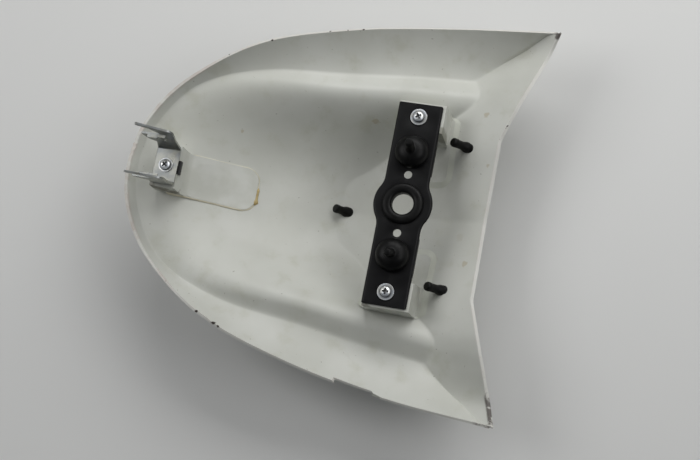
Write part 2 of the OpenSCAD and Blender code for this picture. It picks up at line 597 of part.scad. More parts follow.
// Rubber pegs on bonded spigots: two near the front edge, one at the foot of the front face
PEG_X = 34.3;
PEG_Y = 52.7;
CENTRE_PEG_X = -51;
PEG_SINK = 6;
SPIGOT_D = 3;
PEG_CAP = 3.5;
module peg_profile(l, bore) {
    foot = peg_foot_d / 2;
    head = peg_head_d / 2;
    waist = head - 0.35;
    rotate_extrude() polygon([[bore, -PEG_SINK], [foot, -PEG_SINK], [foot, l * 0.16], [waist, l * 0.34],
        [waist, l * 0.66], [head, l * 0.76], [head, l * 0.92], [head - 1.2, l], [0, l],
        [0, l - PEG_CAP], [bore, l - PEG_CAP]]);
}
module on_seat(x, y) { translate([x, y, floor_z(x, y)]) rotate([0, -peg_lean, 0]) children(); }
module peg(x, y, l) {
    color("#151515") difference() {
        on_seat(x, y) peg_profile(l, SPIGOT_D / 2);
        both_sides() bed([x - 8, x + 8, abs(y) - 8, abs(y) + 8], -BED_DEEP, 0);
    }
}
module spigot(x, y, l) {
    difference() {
        on_seat(x, y) translate([0, 0, -PEG_SINK]) cylinder(d = SPIGOT_D, h = l - PEG_CAP + PEG_SINK);
        both_sides() bed([x - 8, x + 8, abs(y) - 8, abs(y) + 8], -BED_DEEP, 0);
    }
}
module peg_right() { peg(PEG_X, PEG_Y, peg_l); }
module peg_left() { peg(PEG_X, -PEG_Y, peg_l); }
module peg_centre() { peg(CENTRE_PEG_X, 0, centre_peg_l); }
module peg_spigots() {
    color("#dcdfd4") {
        spigot(PEG_X, PEG_Y, peg_l);
        spigot(PEG_X, -PEG_Y, peg_l);
        spigot(CENTRE_PEG_X, 0, centre_peg_l);
    }
}

cowl_shell();
tail_block();
tail_bracket();
tail_clip_nut();
tail_washer();
tail_screw();
pedestal_right();
pedestal_left();
insert_right();
insert_left();
mount_plate();
centre_grommet();
bump_stop_right();
bump_stop_left();
plate_washer_right();
plate_washer_left();
plate_screw_right();
plate_screw_left();
peg_right();
peg_left();
peg_centre();
peg_spigots();
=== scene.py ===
"""Looks of a motorcycle seat cowl that lies on its hump with its inside up.

The frame's origin is the centre of the plate's middle hole, +X is the riding direction and +Z comes out of
the open inside. Shapes are worked out in millimetres and become metres when a mesh is made.
"""

import math

import bpy
import bmesh
import numpy as np
from mathutils import Matrix
from mathutils.geometry import delaunay_2d_cdt


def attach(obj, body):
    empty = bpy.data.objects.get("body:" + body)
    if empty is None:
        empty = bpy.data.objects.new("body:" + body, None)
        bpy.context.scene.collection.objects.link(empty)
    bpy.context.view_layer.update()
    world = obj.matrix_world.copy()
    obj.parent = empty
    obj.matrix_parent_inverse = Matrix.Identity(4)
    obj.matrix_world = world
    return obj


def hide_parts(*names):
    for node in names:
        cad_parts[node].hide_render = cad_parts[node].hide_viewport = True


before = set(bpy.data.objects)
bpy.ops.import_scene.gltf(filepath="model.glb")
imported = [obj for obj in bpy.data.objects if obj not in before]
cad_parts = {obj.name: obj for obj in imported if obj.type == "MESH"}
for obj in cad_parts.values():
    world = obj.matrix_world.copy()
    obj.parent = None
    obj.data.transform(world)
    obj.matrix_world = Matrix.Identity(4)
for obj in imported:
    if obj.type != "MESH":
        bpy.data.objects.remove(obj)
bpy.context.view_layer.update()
MM = 0.001

# The camera of the photograph: its lens and place, and its right, up and backward directions
PICTURE_WIDTH, PICTURE_HEIGHT, SENSOR_WIDTH = 700, 460, 36
PLATE_DISTANCE = 980
FOCAL_PIXELS = 1400
HOLE_PIXEL = (402.3, 203.2)
CAMERA_RIGHT = np.array([0.967, 0.190, -0.168])
CAMERA_UP = np.array([-0.153, 0.965, 0.211])
CAMERA_BACK = np.array([0.202, -0.178, 0.963])

# Sizes of the real pieces, the same as in the part's source; holes and bores are radii
WALL = 2.4
REST_Z = -62.5
NOTCH_DEPTH = 2.8
PLATE_LENGTH, PLATE_WIDTH, PLATE_THICK = 147, 32, 2
BOSS_RADIUS, WAIST_RADIUS, CORNER_RADIUS = 21, 14, 1.2
LIP_DEPTH, LIP_GAP = 4, 1.5
SCREW_Y, STOP_Y, SMALL_HOLE_Y = 63.5, 37.525, 21.2
MIDDLE_HOLE, SCREW_HOLE, STOP_HOLE, SMALL_HOLE = 10.0, 2.25, 5.0, 2.9
PEDESTAL_Y, PEDESTAL_WIDTH = 64.7, 20.5
TAIL_SCREW_X, BRACKET_Z = -173.55, 8
WASHER_THICK = 1.0
SCREW_HEAD, HEAD_RISE, HEAD_DOME, THREAD_PITCH = 4.0, 2.8, 1.5, 0.7
PEG_LEAN = math.radians(42)

# How meshes are finished: the gap in metres that is closed, the angle of a sharp edge in degrees, how far a
# piece goes into its bed, and how wide the fading edge of its painted shade is
SEAM_GAP = 2e-6
SHARP_ANGLE = 35
BED_SINK = 0.4
SHADE_FADE = 0.7


def placed(name, data):
    """A new object of a mesh, lamp or camera, linked to the scene."""
    thing = bpy.data.objects.new(name, data)
    bpy.context.scene.collection.objects.link(thing)
    return thing


def point_values(mesh, label, values):
    """Keeps one number for each point of a mesh, for its material to read."""
    attribute = mesh.attributes.new(label, "FLOAT", "POINT")
    attribute.data.foreach_set("value", np.asarray(values, np.float32).ravel())


def mesh_object(name, points, faces, smooth_angle=SHARP_ANGLE, shade_amount=None):
    """An object from points in millimetres and a list of faces, with each point's amount of painted shade from
    0 to 1.
    """
    mesh = bpy.data.meshes.new(name)
    mesh.from_pydata((np.asarray(points) * MM).tolist(), [], [list(map(int, f)) for f in faces])
    if shade_amount is not None:
        point_values(mesh, "shade_amount", shade_amount)
    mesh.validate()
    thing = placed(name, mesh)
    close_seams(mesh, SEAM_GAP)
    shade(mesh, smooth_angle)
    return thing


def close_seams(mesh, gap):
    """Merges points that lie on each other and turns every face outwards."""
    work = bmesh.new()
    work.from_mesh(mesh)
    bmesh.ops.remove_doubles(work, verts=work.verts, dist=gap)
    bmesh.ops.dissolve_degenerate(work, edges=work.edges, dist=gap / 2)
    bmesh.ops.recalc_face_normals(work, faces=work.faces)
    work.to_mesh(mesh)
    work.free()


def shade(mesh, angle):
    """Smooth shading, with edges sharper than the angle kept sharp."""
    mesh.shade_smooth()
    work = bmesh.new()
    work.from_mesh(mesh)
    limit = math.radians(angle)
    for edge in work.edges:
        edge.smooth = len(edge.link_faces) == 2 and edge.calc_face_angle(0.0) < limit
    work.to_mesh(mesh)
    work.free()


def ease_edges(thing, width, angle):
    """Rounds every edge that is sharper than the angle, over a width in millimetres."""
    bevel = thing.modifiers.new("eased edges", "BEVEL")
    bevel.width = width * MM
    bevel.segments = 2
    bevel.limit_method = "ANGLE"
    bevel.angle_limit = math.radians(angle)


def grid_faces(rows, cols, first=0, wrap=False):
    """Quads of a grid of rows and columns, closed along the columns where wrap is set."""
    r = np.arange(rows - 1)[:, None]
    c = np.arange(cols if wrap else cols - 1)[None, :]
    n = (c + 1) % cols
    quads = np.stack([r * cols + c, r * cols + n, (r + 1) * cols + n, (r + 1) * cols + c], -1)
    return first + quads.reshape(-1, 4)


def angles_round(sides):
    """Angles evenly spaced round a circle."""
    return np.linspace(0, 2 * math.pi, sides, endpoint=False)


def rounded_profile(corners, steps=5):
    """A line of (radius, height) points; each corner (r, z, ease) is rounded over the ease on both sides."""
    line = [np.array(corners[0][:2], float)]
    for before, here, after in zip(corners[:-2], corners[1:-1], corners[2:]):
        p, ease = np.array(here[:2], float), here[2]
        a = np.array(before[:2], float) - p
        b = np.array(after[:2], float) - p
        t = np.linspace(0, 1, steps + 1 if ease > 0 else 1)[:, None]
        start = p + a / np.linalg.norm(a) * ease
        end = p + b / np.linalg.norm(b) * ease
        line.extend((1 - t) ** 2 * start + 2 * t * (1 - t) * p + t ** 2 * end)
    line.append(np.array(corners[-1][:2], float))
    return np.array(line)


def turned(name, corners, centre, sides=96, lean=0.0, painted_shade=None, bed=None, tip_lean=None):
    """A turned piece: its profile (radius, height) carried round an upright axis that leans towards the tail.

    Painted shade, standing in for the shade round a screw head, fades out from the given radius. The piece goes
    no deeper than just under the surface bed. What is above the height tip_lean[2] leans by tip_lean[0] along x
    and tip_lean[1] along y.
    """
    line = rounded_profile(corners)
    a = angles_round(sides)[None, :]
    r, z = line[:, :1], line[:, 1:]
    shade_amount = None if painted_shade is None else np.interp(r + 0 * a, [painted_shade, painted_shade + SHADE_FADE], [1, 0])
    x, y, z = r * np.cos(a), r * np.sin(a), z + 0 * a
    if tip_lean:
        above = np.maximum(z - tip_lean[2], 0)
        x, y = x + tip_lean[0] * above, y + tip_lean[1] * above
    along_x = x * math.cos(lean) - z * math.sin(lean)
    along_z = x * math.sin(lean) + z * math.cos(lean)
    points = np.stack([along_x, y, along_z], -1).reshape(-1, 3) + np.array(centre)
    if bed is not None:
        points[:, 2] = np.maximum(points[:, 2], bed(points[:, 0], points[:, 1]) - BED_SINK)
    return mesh_object(name, points, grid_faces(len(line), sides, wrap=True), shade_amount=shade_amount)


def eased_copy(node, width):
    """A copy of a CAD node with its edges eased; the copy stands for the node."""
    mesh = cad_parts[node].data.copy()
    mesh.name = node + "_eased"
    thing = placed(node + "_eased", mesh)
    work = bmesh.new()
    work.from_mesh(mesh)
    bmesh.ops.remove_doubles(work, verts=work.verts, dist=SEAM_GAP)
    bmesh.ops.dissolve_limit(work, angle_limit=math.radians(0.6), verts=work.verts, edges=work.edges)
    work.to_mesh(mesh)
    work.free()
    ease_edges(thing, width, SHARP_ANGLE)
    shade(mesh, SHARP_ANGLE)
    return thing


def dress(thing, material, slot_name, *nodes):
    """Gives a piece its material and says which body it rides on and what it stands for; slot_name is not used.
    """
    thing.data.materials.clear()
    thing.data.materials.append(material)
    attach(thing, "root")
    if nodes:
        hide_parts(*nodes)
    return thing


# The moulding's lines at stations from the middle of the tail to the horn: the rim, the crease under it, and
# how fast the ridge rises from the crease
RIM = np.array([[-203.5, 0, 0], [-196.5, 34, 0], [-171.5, 68.5, 1], [-124, 102, 2], [-60, 122.5, -4],
                [10, 135, -11], [84, 141, -9]], float)
CREASE = np.array([[-199.5, 0, -6], [-192, 32.5, -6], [-167, 66.5, -6], [-121, 86, -10.5], [-58, 94.5, -18.5],
                   [-8, 101, -25], [62, 108, -36]], float)
RIDGE_SLOPE = np.array([0.05, 0.08, 0.14, 0.22, 0.33, 0.48, 0.55])

# The bowl over x: its lowest line, and a line on its bank by distance from the middle and by height
KEEL = np.array([[-205, -3], [-182, -9.5], [-164, -17], [-140, -28], [-115, -39], [-90, -49], [-70, -57],
                 [-51, -61.2], [-20, -64], [20, -65.5], [60, -66]])
BANK_Y = np.array([[-205, 48], [-163, 56], [-128, 64.4], [-91, 69.3], [-55, 73], [-19, 77.6], [10, 81],
                   [60, 88]])
BANK_Z = np.array([[-205, 8], [-163, -1], [-128, -5.5], [-91, -8.5], [-55, -11.5], [-19, -14.5], [10, -16.5],
                   [60, -19]])

# The front face: height over x, what is added over |y|, and x of the front edge over |y|
FACE = np.array([[-120, -66], [-60, -61.6], [-51, -60.9], [-38, -60.2], [-25, -57.4], [0, -47.6], [30, -33.8],
                 [56, -21], [84, -8]])
FACE_SIDE = np.array([[0, 0], [30, 3.5], [58, 9], [80, 9], [93, 6.5], [104, 2.5], [127, -5], [141, -1]])
EDGE = np.array([[0, 56], [58, 57.6], [141, 86.5]])

# The ends of the spine in x, and how the surfaces curve: the bank's power, the ridge's rounding, the wall's
# hollow, the flank's fullness and reach, the crease's sharpness at stations, and the rim's edge, out and up
SPINE = (-120, 56)
BOWL_POWER, RIDGE_ROUND, WALL_SAG = 2.5, 23, 5
FLANK_BULGE, FLANK_REACH = 0.3, 32
CREASE_POWER = ([0, 2, 4, 6], [12, 14, 30, 60])
EDGE_WALL, EDGE_LIP = 1.6, 1.4

# The grid: steps across to the crease, up the side wall, along the body and on the front face
LAST = len(RIM) - 1
ACROSS, UP_WALL, ALONG, ON_FACE = 60, 12, 120, 38
CLOSER_AT_CREASE, CLOSER_AT_RIM = 1.15, 1.6
RIM_STRIP = 1.1

# The notch in the left rim as shares of its length, the run of its ends, and nicks as (share, depth, width)
NOTCH = (0.7475, 0.8283)
NOTCH_RUN, NOTCH_MARGIN = 0.0012, 0.0005
NICKS = [(0.034, 0.7, 0.004), (0.047, 0.5, 0.003), (0.06, 0.8, 0.004), (0.077, 0.9, 0.005),
         (0.094, 0.5, 0.003)]
NEAR_NICKS = [(0.484, 0.5, 0.005), (0.497, 0.8, 0.006), (0.51, 0.6, 0.005), (0.525, 0.5, 0.004)]


def hermite(a, b, ma, mb, u):
    """Cubic from a to b with slopes ma and mb."""
    return (a * (2 * u ** 3 - 3 * u ** 2 + 1) + ma * (u ** 3 - 2 * u ** 2 + u)
            + b * (3 * u ** 2 - 2 * u ** 3) + mb * (u ** 3 - u ** 2))


def curve(table, x):
    """Smooth height over a table of unevenly spaced (x, height) points."""
    xs, ys = table[:, 0], table[:, 1]
    slopes = np.empty(len(xs))
    slopes[1:-1] = (ys[2:] - ys[:-2]) / (xs[2:] - xs[:-2])
    slopes[0] = (ys[1] - ys[0]) / (xs[1] - xs[0])
    slopes[-1] = (ys[-1] - ys[-2]) / (xs[-1] - xs[-2])
    i = np.clip(np.searchsorted(xs, x, side="right") - 1, 0, len(xs) - 2)
    w = xs[i + 1] - xs[i]
    inside = hermite(ys[i], ys[i + 1], slopes[i] * w, slopes[i + 1] * w, (x - xs[i]) / w)
    return np.where(x <= xs[0], ys[0] + slopes[0] * (x - xs[0]), inside)


def along(line, t):
    """Smooth curve through a line's stations, mirrored across the tail."""
    before = line[1] * np.array([1, -1, 1])
    full = np.vstack([before, line, 2 * line[-1] - line[-2]])
    k = np.minimum(np.floor(t).astype(int), LAST - 1)
    a, b, c, d = (full[k + step] for step in range(4))
    return hermite(b, c, (c - a) / 2, (d - b) / 2, (t - k)[..., None])


def bowl(x, y):
    """Height of the bowl: its floor line plus a bank that steepens with the distance from the middle."""
    keel = curve(KEEL, x)
    return keel + (curve(BANK_Z, x) - keel) * (np.abs(y) / curve(BANK_Y, x)) ** BOWL_POWER


def face(x, y):
    """Height of the front face."""
    return curve(FACE, x) + curve(FACE_SIDE, np.abs(y))


def floor_height(x, y):
    """Height of the inside where neither ridge nor wall is near."""
    return np.maximum(bowl(x, y), face(x, y))


def on_surface(surface, x, y):
    """One place on a surface, as (x, y, height)."""
    return x, y, float(surface(np.array(x), np.array(y)))


def soft_min(a, b, r):
    """The lower of two heights, rounded where they meet."""
    h = np.maximum(r - np.abs(a - b), 0) / r
    return np.minimum(a, b) - h * h * r / 4


def in_body(u, t):
    """A point between the spine (u = 0) and the crease (u = 1) at station t.

    It is on the lower of the bowl and the ridge, and is pulled to the crease by a high power of u.
    """
    c = along(CREASE, t)
    sx = SPINE[0] + (SPINE[1] - SPINE[0]) * t / LAST
    x, y = sx + (c[..., 0] - sx) * u, c[..., 1] * u
    away = np.hypot(c[..., 0] - x, c[..., 1] - y)
    bulge = 1 + FLANK_BULGE * np.clip(1 - away / FLANK_REACH, 0, 1) * np.clip(t / 2, 0, 1)
    ridge = c[..., 2] + np.interp(t, np.arange(LAST + 1), RIDGE_SLOPE) * away * bulge
    pull = u ** np.interp(t, *CREASE_POWER)
    z = soft_min(bowl(x, y), ridge, RIDGE_ROUND) * (1 - pull) + c[..., 2] * pull
    return np.stack([x, y, z], -1)


def on_wall(w, t):
    """A point of the side wall between the crease (w = 0) and the rim (w = 1), with the wall's hollow."""
    c, r = along(CREASE, t), along(RIM, t)
    p = c + (r - c) * w[..., None]
    p[..., 2] -= WALL_SAG * (t / LAST) ** 2 * 4 * w * (1 - w)
    return p


def body(a, t):
    """A point of the body: a runs from 0 on the spine over 1 on the crease to 2 on the rim."""
    u, w = np.minimum(a, 1), np.maximum(a - 1, 0)
    return np.where((a <= 1)[..., None], in_body(u, t), on_wall(w, t))


def meeting_stations(a):
    """The station at which each line across the body meets the front face, by halving."""
    low, high = np.zeros_like(a), np.full_like(a, float(LAST))
    for _ in range(30):
        middle = (low + high) / 2
        p = body(a, middle)
        above = p[..., 2] > face(p[..., 0], p[..., 1])
        low, high = np.where(above, middle, low), np.where(above, high, middle)
    return np.where(a >= 2, LAST, (low + high) / 2)


def along_shares():
    """Shares along the body, with pairs of columns at both ends of the notch."""
    s = np.linspace(0, 1, ALONG + 1)
    for end, step in ((NOTCH[0], 1), (NOTCH[1], -1)):
        k = int(np.argmin(np.abs(s - end)))
        s[k] = end
        s[k + step] = end + step * NOTCH_RUN
    return s


def inside_grid(cut):
    """The inside on one side of the centre plane as a grid, its rim lowered by cut(s) millimetres.

    Rows go from the spine to the rim. Columns go along the body to the front face and on over it to its edge.
    """
    share = 1 - (1 - np.linspace(0, 1, ACROSS + 1)) ** CLOSER_AT_CREASE
    up = np.linspace(0, 1, UP_WALL + 1)[1:] ** CLOSER_AT_RIM
    a = np.concatenate([share, 1 + up])
    s = along_shares()
    height = np.linalg.norm(along(RIM, s * LAST) - along(CREASE, s * LAST), axis=-1)
    wall_part = np.clip(a[:, None] - 1, 0, 1)
    last_step = np.clip(1 - RIM_STRIP / height, 0.5, 0.97)[None, :]
    eased = np.where(wall_part < 1, wall_part / up[-2] * last_step, 1.0)
    lowered = eased * (1 - cut(s)[None, :] / height[None, :])
    across = np.where(a[:, None] <= 1, a[:, None], 1 + lowered)
    rear = body(across, meeting_stations(a)[:, None] * s[None, :])
    start = rear[:, -1]
    end_shares = across[:, -1:]
    ends = body(end_shares, np.full_like(end_shares, float(LAST)))[:, 0]
    edge_x = np.interp(np.abs(ends[:, 1]), EDGE[:, 0], EDGE[:, 1])
    f = (np.arange(1, ON_FACE + 1) / ON_FACE)[None, :]
    x = start[:, :1] + (edge_x[:, None] - start[:, :1]) * f
    y = start[:, 1:2] + (ends[:, 1:2] - start[:, 1:2]) * f
    front = np.stack([x, y, face(x, y)], -1)
    return np.concatenate([rear, front], 1)


def softened(grid):
    """The same grid with its creases eased: points move towards their neighbours, most at the creases."""
    rows, cols = np.arange(grid.shape[0])[:, None], np.arange(grid.shape[1])[None, :]
    at_face = np.exp(-((cols - ALONG) / 1.3) ** 2)
    tail_part = np.clip(1 - cols / (0.4 * ALONG), 0, 1)
    at_crease = np.exp(-((rows - ACROSS) / (1.4 + 4 * tail_part)) ** 2)
    inner = np.ones(grid.shape[:2])
    inner[0] = inner[-1] = inner[-2] = 0
    inner[:, 0] = inner[:, -1] = 0
    along_face = np.interp(rows / ACROSS, [0, 0.55, 0.93, 1.08], [0.05, 0.06, 0.16, 0.08])
    long_weight = (along_face * at_face * inner)[..., None]
    cross_weight = ((0.1 + 0.65 * tail_part) * at_crease * inner)[..., None]
    for _ in range(5):
        long_mean, cross_mean = grid.copy(), grid.copy()
        long_mean[:, 1:-1] = (grid[:, :-2] + grid[:, 2:]) / 2
        cross_mean[1:-1] = (grid[:-2] + grid[2:]) / 2
        grid = grid + long_weight * (long_mean - grid)
        grid = grid + cross_weight * (cross_mean - grid)
    return grid


def outward(grid):
    """Unit normals that point out of the moulding: the cross product of the grid's two directions.

    On the centre plane they have no part across it.
    """
    a = np.empty_like(grid)
    b = np.empty_like(grid)
    a[1:-1], a[0], a[-1] = grid[2:] - grid[:-2], grid[1] - grid[0], grid[-1] - grid[-2]
    b[:, 1:-1] = grid[:, 2:] - grid[:, :-2]
    b[:, 0], b[:, -1] = grid[:, 1] - grid[:, 0], grid[:, -1] - grid[:, -2]
    n = np.cross(b, a)
    n[0, :, 1] = 0
    n[:, 0, 1] = 0
    n[0, 0] = np.cross(a[0, 0], [0, 1, 0])
    n /= np.maximum(np.linalg.norm(n, axis=-1, keepdims=True), 1e-9)
    return n * np.where(n[..., 2:] > 0, -1, 1)


def no_cut(s):
    """A whole rim."""
    return 0 * s


def nicked(s, nicks):
    """How far nicks lower a rim at each share of its length."""
    return sum(deep * np.exp(-((s - at) / wide) ** 2) for at, deep, wide in nicks)


def left_cut(s):
    """How far the left rim is cut down: the notch, and small nicks further back."""
    in_notch = (s >= NOTCH[0] + NOTCH_MARGIN) & (s <= NOTCH[1] - NOTCH_MARGIN)
    return np.where(in_notch, NOTCH_DEPTH, 0.0) + nicked(s, NEAR_NICKS)


def right_cut(s):
    """How far the right rim is cut down by the nicks near the tail."""
    return nicked(s, NICKS)


def moulding():
    """The shell: the inside grid of each half, the grid moved out by the wall, and strips along the edges."""
    points, faces, rims = [], [], []
    rows, cols = ACROSS + UP_WALL + 1, ALONG + ON_FACE + 1
    normal = outward(softened(inside_grid(no_cut)))
    first = 0
    for side, cut in ((1, right_cut), (-1, left_cut)):
        inner = softened(inside_grid(cut))
        outer = inner + normal * WALL
        outer[..., 2] = np.maximum(outer[..., 2], REST_Z)
        for last, before in ((np.s_[-1], np.s_[-2]), (np.s_[:, -1], np.s_[:, -2])):
            upward = inner[last] - inner[before]
            upward /= np.maximum(np.linalg.norm(upward, axis=-1, keepdims=True), 1e-9)
            outer[last] = inner[last] + EDGE_WALL * normal[last] + EDGE_LIP * upward
        depth = np.linalg.norm(inner - inner[-1:], axis=-1)
        from_front = np.linalg.norm(inner - inner[:, -1:], axis=-1)
        depth[:, ALONG:] = np.minimum(depth, from_front)[:, ALONG:]
        for layer in (inner, outer):
            points.append(layer.reshape(-1, 3) * np.array([1, side, 1]))
            rims.append(depth.ravel())
            faces.append(grid_faces(rows, cols, first))
            first += rows * cols
        near, far = first - 2 * rows * cols, first - rows * cols
        for strip in (near + (rows - 1) * cols + np.arange(cols), near + np.arange(rows) * cols + cols - 1):
            twin = strip + (far - near)
            faces.append(np.stack([strip[:-1], strip[1:], twin[1:], twin[:-1]], -1))
    mesh = bpy.data.meshes.new("cowl_moulding")
    mesh.from_pydata((np.concatenate(points) * MM).tolist(), [], np.concatenate(faces).tolist())
    point_values(mesh, "rim_depth", np.concatenate(rims))
    thing = placed("cowl_moulding", mesh)
    close_seams(mesh, 1e-5)
    shade(mesh, 40)
    ease_edges(thing, 0.55, 50)
    return thing


def node_tree(name):
    """A new material with its Principled shader and Object coordinates."""
    material = bpy.data.materials.new(name)
    material.use_nodes = True
    tree = material.node_tree
    coords = tree.nodes.new("ShaderNodeTexCoord")
    return material, tree, tree.nodes["Principled BSDF"], coords.outputs["Object"]


def colour(hexa):
    """A colour written as in a paint chart, as linear numbers."""
    parts = [int(hexa[i:i + 2], 16) / 255 for i in (0, 2, 4)]
    return tuple(p / 12.92 if p <= 0.04045 else ((p + 0.055) / 1.055) ** 2.4 for p in parts) + (1,)


def feed(tree, socket, value):
    """Sets a number or a colour on a socket, or links another node's output to it."""
    if isinstance(value, (int, float, tuple)):
        socket.default_value = value
    else:
        tree.links.new(value, socket)


def math_node(tree, operation, a, b):
    """One Math node; a and b are outputs or numbers."""
    node = tree.nodes.new("ShaderNodeMath")
    node.operation = operation
    feed(tree, node.inputs[0], a)
    feed(tree, node.inputs[1], b)
    return node.outputs[0]


def times(tree, a, b):
    """The product of two masks, or of a mask and a number."""
    return math_node(tree, "MULTIPLY", a, b)


def mix_colour(tree, amount, a, b):
    """One Mix node on colours; every input is an output or a value."""
    node = tree.nodes.new("ShaderNodeMix")
    node.data_type = "RGBA"
    feed(tree, node.inputs["Factor"], amount)
    feed(tree, node.inputs[6], a)
    feed(tree, node.inputs[7], b)
    return node.outputs[2]


def noise(tree, vector, scale, detail, rough):
    """A noise texture's value; scale is in patterns per metre."""
    node = tree.nodes.new("ShaderNodeTexNoise")
    node.inputs["Scale"].default_value = scale
    node.inputs["Detail"].default_value = detail
    node.inputs["Roughness"].default_value = rough
    tree.links.new(vector, node.inputs["Vector"])
    return node.outputs["Fac"]


def ramp(tree, value, low, high):
    """A mask that runs from 0 at low to 1 at high."""
    node = tree.nodes.new("ShaderNodeMapRange")
    node.interpolation_type = "SMOOTHSTEP"
    node.inputs["From Min"].default_value = low
    node.inputs["From Max"].default_value = high
    tree.links.new(value, node.inputs["Value"])
    return node.outputs["Result"]


def kept_value(tree, label):
    """The number that a mesh keeps for each of its points."""
    node = tree.nodes.new("ShaderNodeAttribute")
    node.attribute_name = label
    return node.outputs["Fac"]


def group_with(name, inputs, outputs):
    """An empty shader node group with named inputs and outputs."""
    tree = bpy.data.node_groups.new(name, "ShaderNodeTree")
    for label, kind, value in inputs:
        socket = tree.interface.new_socket(name=label, in_out="INPUT", socket_type=kind)
        if value is not None:
            socket.default_value = value
    for label in outputs:
        tree.interface.new_socket(name=label, in_out="OUTPUT", socket_type="NodeSocketFloat")
    return tree, tree.nodes.new("NodeGroupInput"), tree.nodes.new("NodeGroupOutput")


def build_grain_group():
    """Fine grain of a moulded or painted surface: a height for Bump and a mask that breaks up gloss."""
    tree, enter, leave = group_with(
        "surface grain",
        [("Vector", "NodeSocketVector", None), ("Scale", "NodeSocketFloat", 900.0),
         ("Blotch", "NodeSocketFloat", 60.0)],
        ["Height", "Mask"])
    fine = tree.nodes.new("ShaderNodeTexNoise")
    wide = tree.nodes.new("ShaderNodeTexNoise")
    for node, label, detail in ((fine, "Scale", 4.0), (wide, "Blotch", 3.0)):
        tree.links.new(enter.outputs["Vector"], node.inputs["Vector"])
        tree.links.new(enter.outputs[label], node.inputs["Scale"])
        node.inputs["Detail"].default_value = detail
    height = math_node(tree, "ADD", times(tree, fine.outputs["Fac"], 0.3),
                       times(tree, wide.outputs["Fac"], 0.7))
    tree.links.new(height, leave.inputs["Height"])
    tree.links.new(wide.outputs["Fac"], leave.inputs["Mask"])
    return tree


def build_spot_group():
    """A soft spot: 1 at a place, fading to 0 at a radius, with a wandering outline."""
    tree, enter, leave = group_with(
        "spot",
        [("Vector", "NodeSocketVector", None), ("Place", "NodeSocketVector", None),
         ("Radius", "NodeSocketFloat", 0.01), ("Wander", "NodeSocketFloat", 0.4)],
        ["Mask"])
    offset = tree.nodes.new("ShaderNodeVectorMath")
    offset.operation = "DISTANCE"
    tree.links.new(enter.outputs["Vector"], offset.inputs[0])
    tree.links.new(enter.outputs["Place"], offset.inputs[1])
    away = math_node(tree, "DIVIDE", offset.outputs["Value"], enter.outputs["Radius"])
    wobble = tree.nodes.new("ShaderNodeTexNoise")
    wobble.inputs["Scale"].default_value = 350.0
    wobble.inputs["Detail"].default_value = 4.0
    tree.links.new(enter.outputs["Vector"], wobble.inputs["Vector"])
    shift = times(tree, math_node(tree, "SUBTRACT", wobble.outputs["Fac"], 0.5),
                  times(tree, enter.outputs["Wander"], 4.0))
    edge = ramp(tree, math_node(tree, "ADD", away, shift), 1.0, 0.55)
    tree.links.new(edge, leave.inputs["Mask"])
    return tree


GRAIN = build_grain_group()
SPOT = build_spot_group()


def grain(tree, vector, scale, blotch):
    """The grain group placed in a material."""
    node = tree.nodes.new("ShaderNodeGroup")
    node.node_tree = GRAIN
    node.inputs["Scale"].default_value = scale
    node.inputs["Blotch"].default_value = blotch
    tree.links.new(vector, node.inputs["Vector"])
    return node.outputs["Height"], node.outputs["Mask"]


def spots(tree, vector, places, wander):
    """The largest of several spots, each (x, y, z, radius) in millimetres."""
    total = None
    for *place, radius in places:
        node = tree.nodes.new("ShaderNodeGroup")
        node.node_tree = SPOT
        node.inputs["Place"].default_value = [value * MM for value in place]
        node.inputs["Radius"].default_value = radius * MM
        node.inputs["Wander"].default_value = wander
        tree.links.new(vector, node.inputs["Vector"])
        spot = node.outputs["Mask"]
        total = spot if total is None else math_node(tree, "MAXIMUM", total, spot)
    return total


def bump(tree, shader, height, distance):
    """Bump from a height, its full swing being distance millimetres."""
    node = tree.nodes.new("ShaderNodeBump")
    node.inputs["Distance"].default_value = distance * MM
    node.inputs["Strength"].default_value = 1.0
    tree.links.new(height, node.inputs["Height"])
    tree.links.new(node.outputs["Normal"], shader.inputs["Normal"])


def simple_finish(name, base, second, rough, rough_swing, metallic=0.0, scale=900.0, blotch=70.0, relief=0.02,
                  specular=0.5, painted_shade=None, shade_and_dirt=None):
    """A finish whose colour and gloss drift between two values, with fine grain.

    The colour of painted shade is used where the piece's kept shade amount is 1; darkening spots are given as
    (spots, colour, amount), and they are painted shade in some places and real dirt in others.
    """
    material, tree, shader, where = node_tree(name)
    height, mask = grain(tree, where, scale, blotch)
    tint = mix_colour(tree, ramp(tree, mask, 0.35, 0.65), colour(base), colour(second))
    if painted_shade:
        # Painted shade: the piece is darkened where its kept shade amount is set, in and round screw heads
        tint = mix_colour(tree, times(tree, kept_value(tree, "shade_amount"), 0.92), tint, colour(painted_shade))
    if shade_and_dirt:
        # darkening spots: painted shade in some places, real dirt in others
        places, shade_and_dirt_colour, amount = shade_and_dirt
        darkening = times(tree, spots(tree, where, places, 0.25), amount)
        tint = mix_colour(tree, darkening, tint, colour(shade_and_dirt_colour))
    tree.links.new(tint, shader.inputs["Base Color"])
    swing = times(tree, ramp(tree, mask, 0.3, 0.7), rough_swing)
    tree.links.new(math_node(tree, "ADD", swing, rough), shader.inputs["Roughness"])
    shader.inputs["Metallic"].default_value = metallic
    shader.inputs["Specular IOR Level"].default_value = specular
    bump(tree, shader, height, relief)
    return material


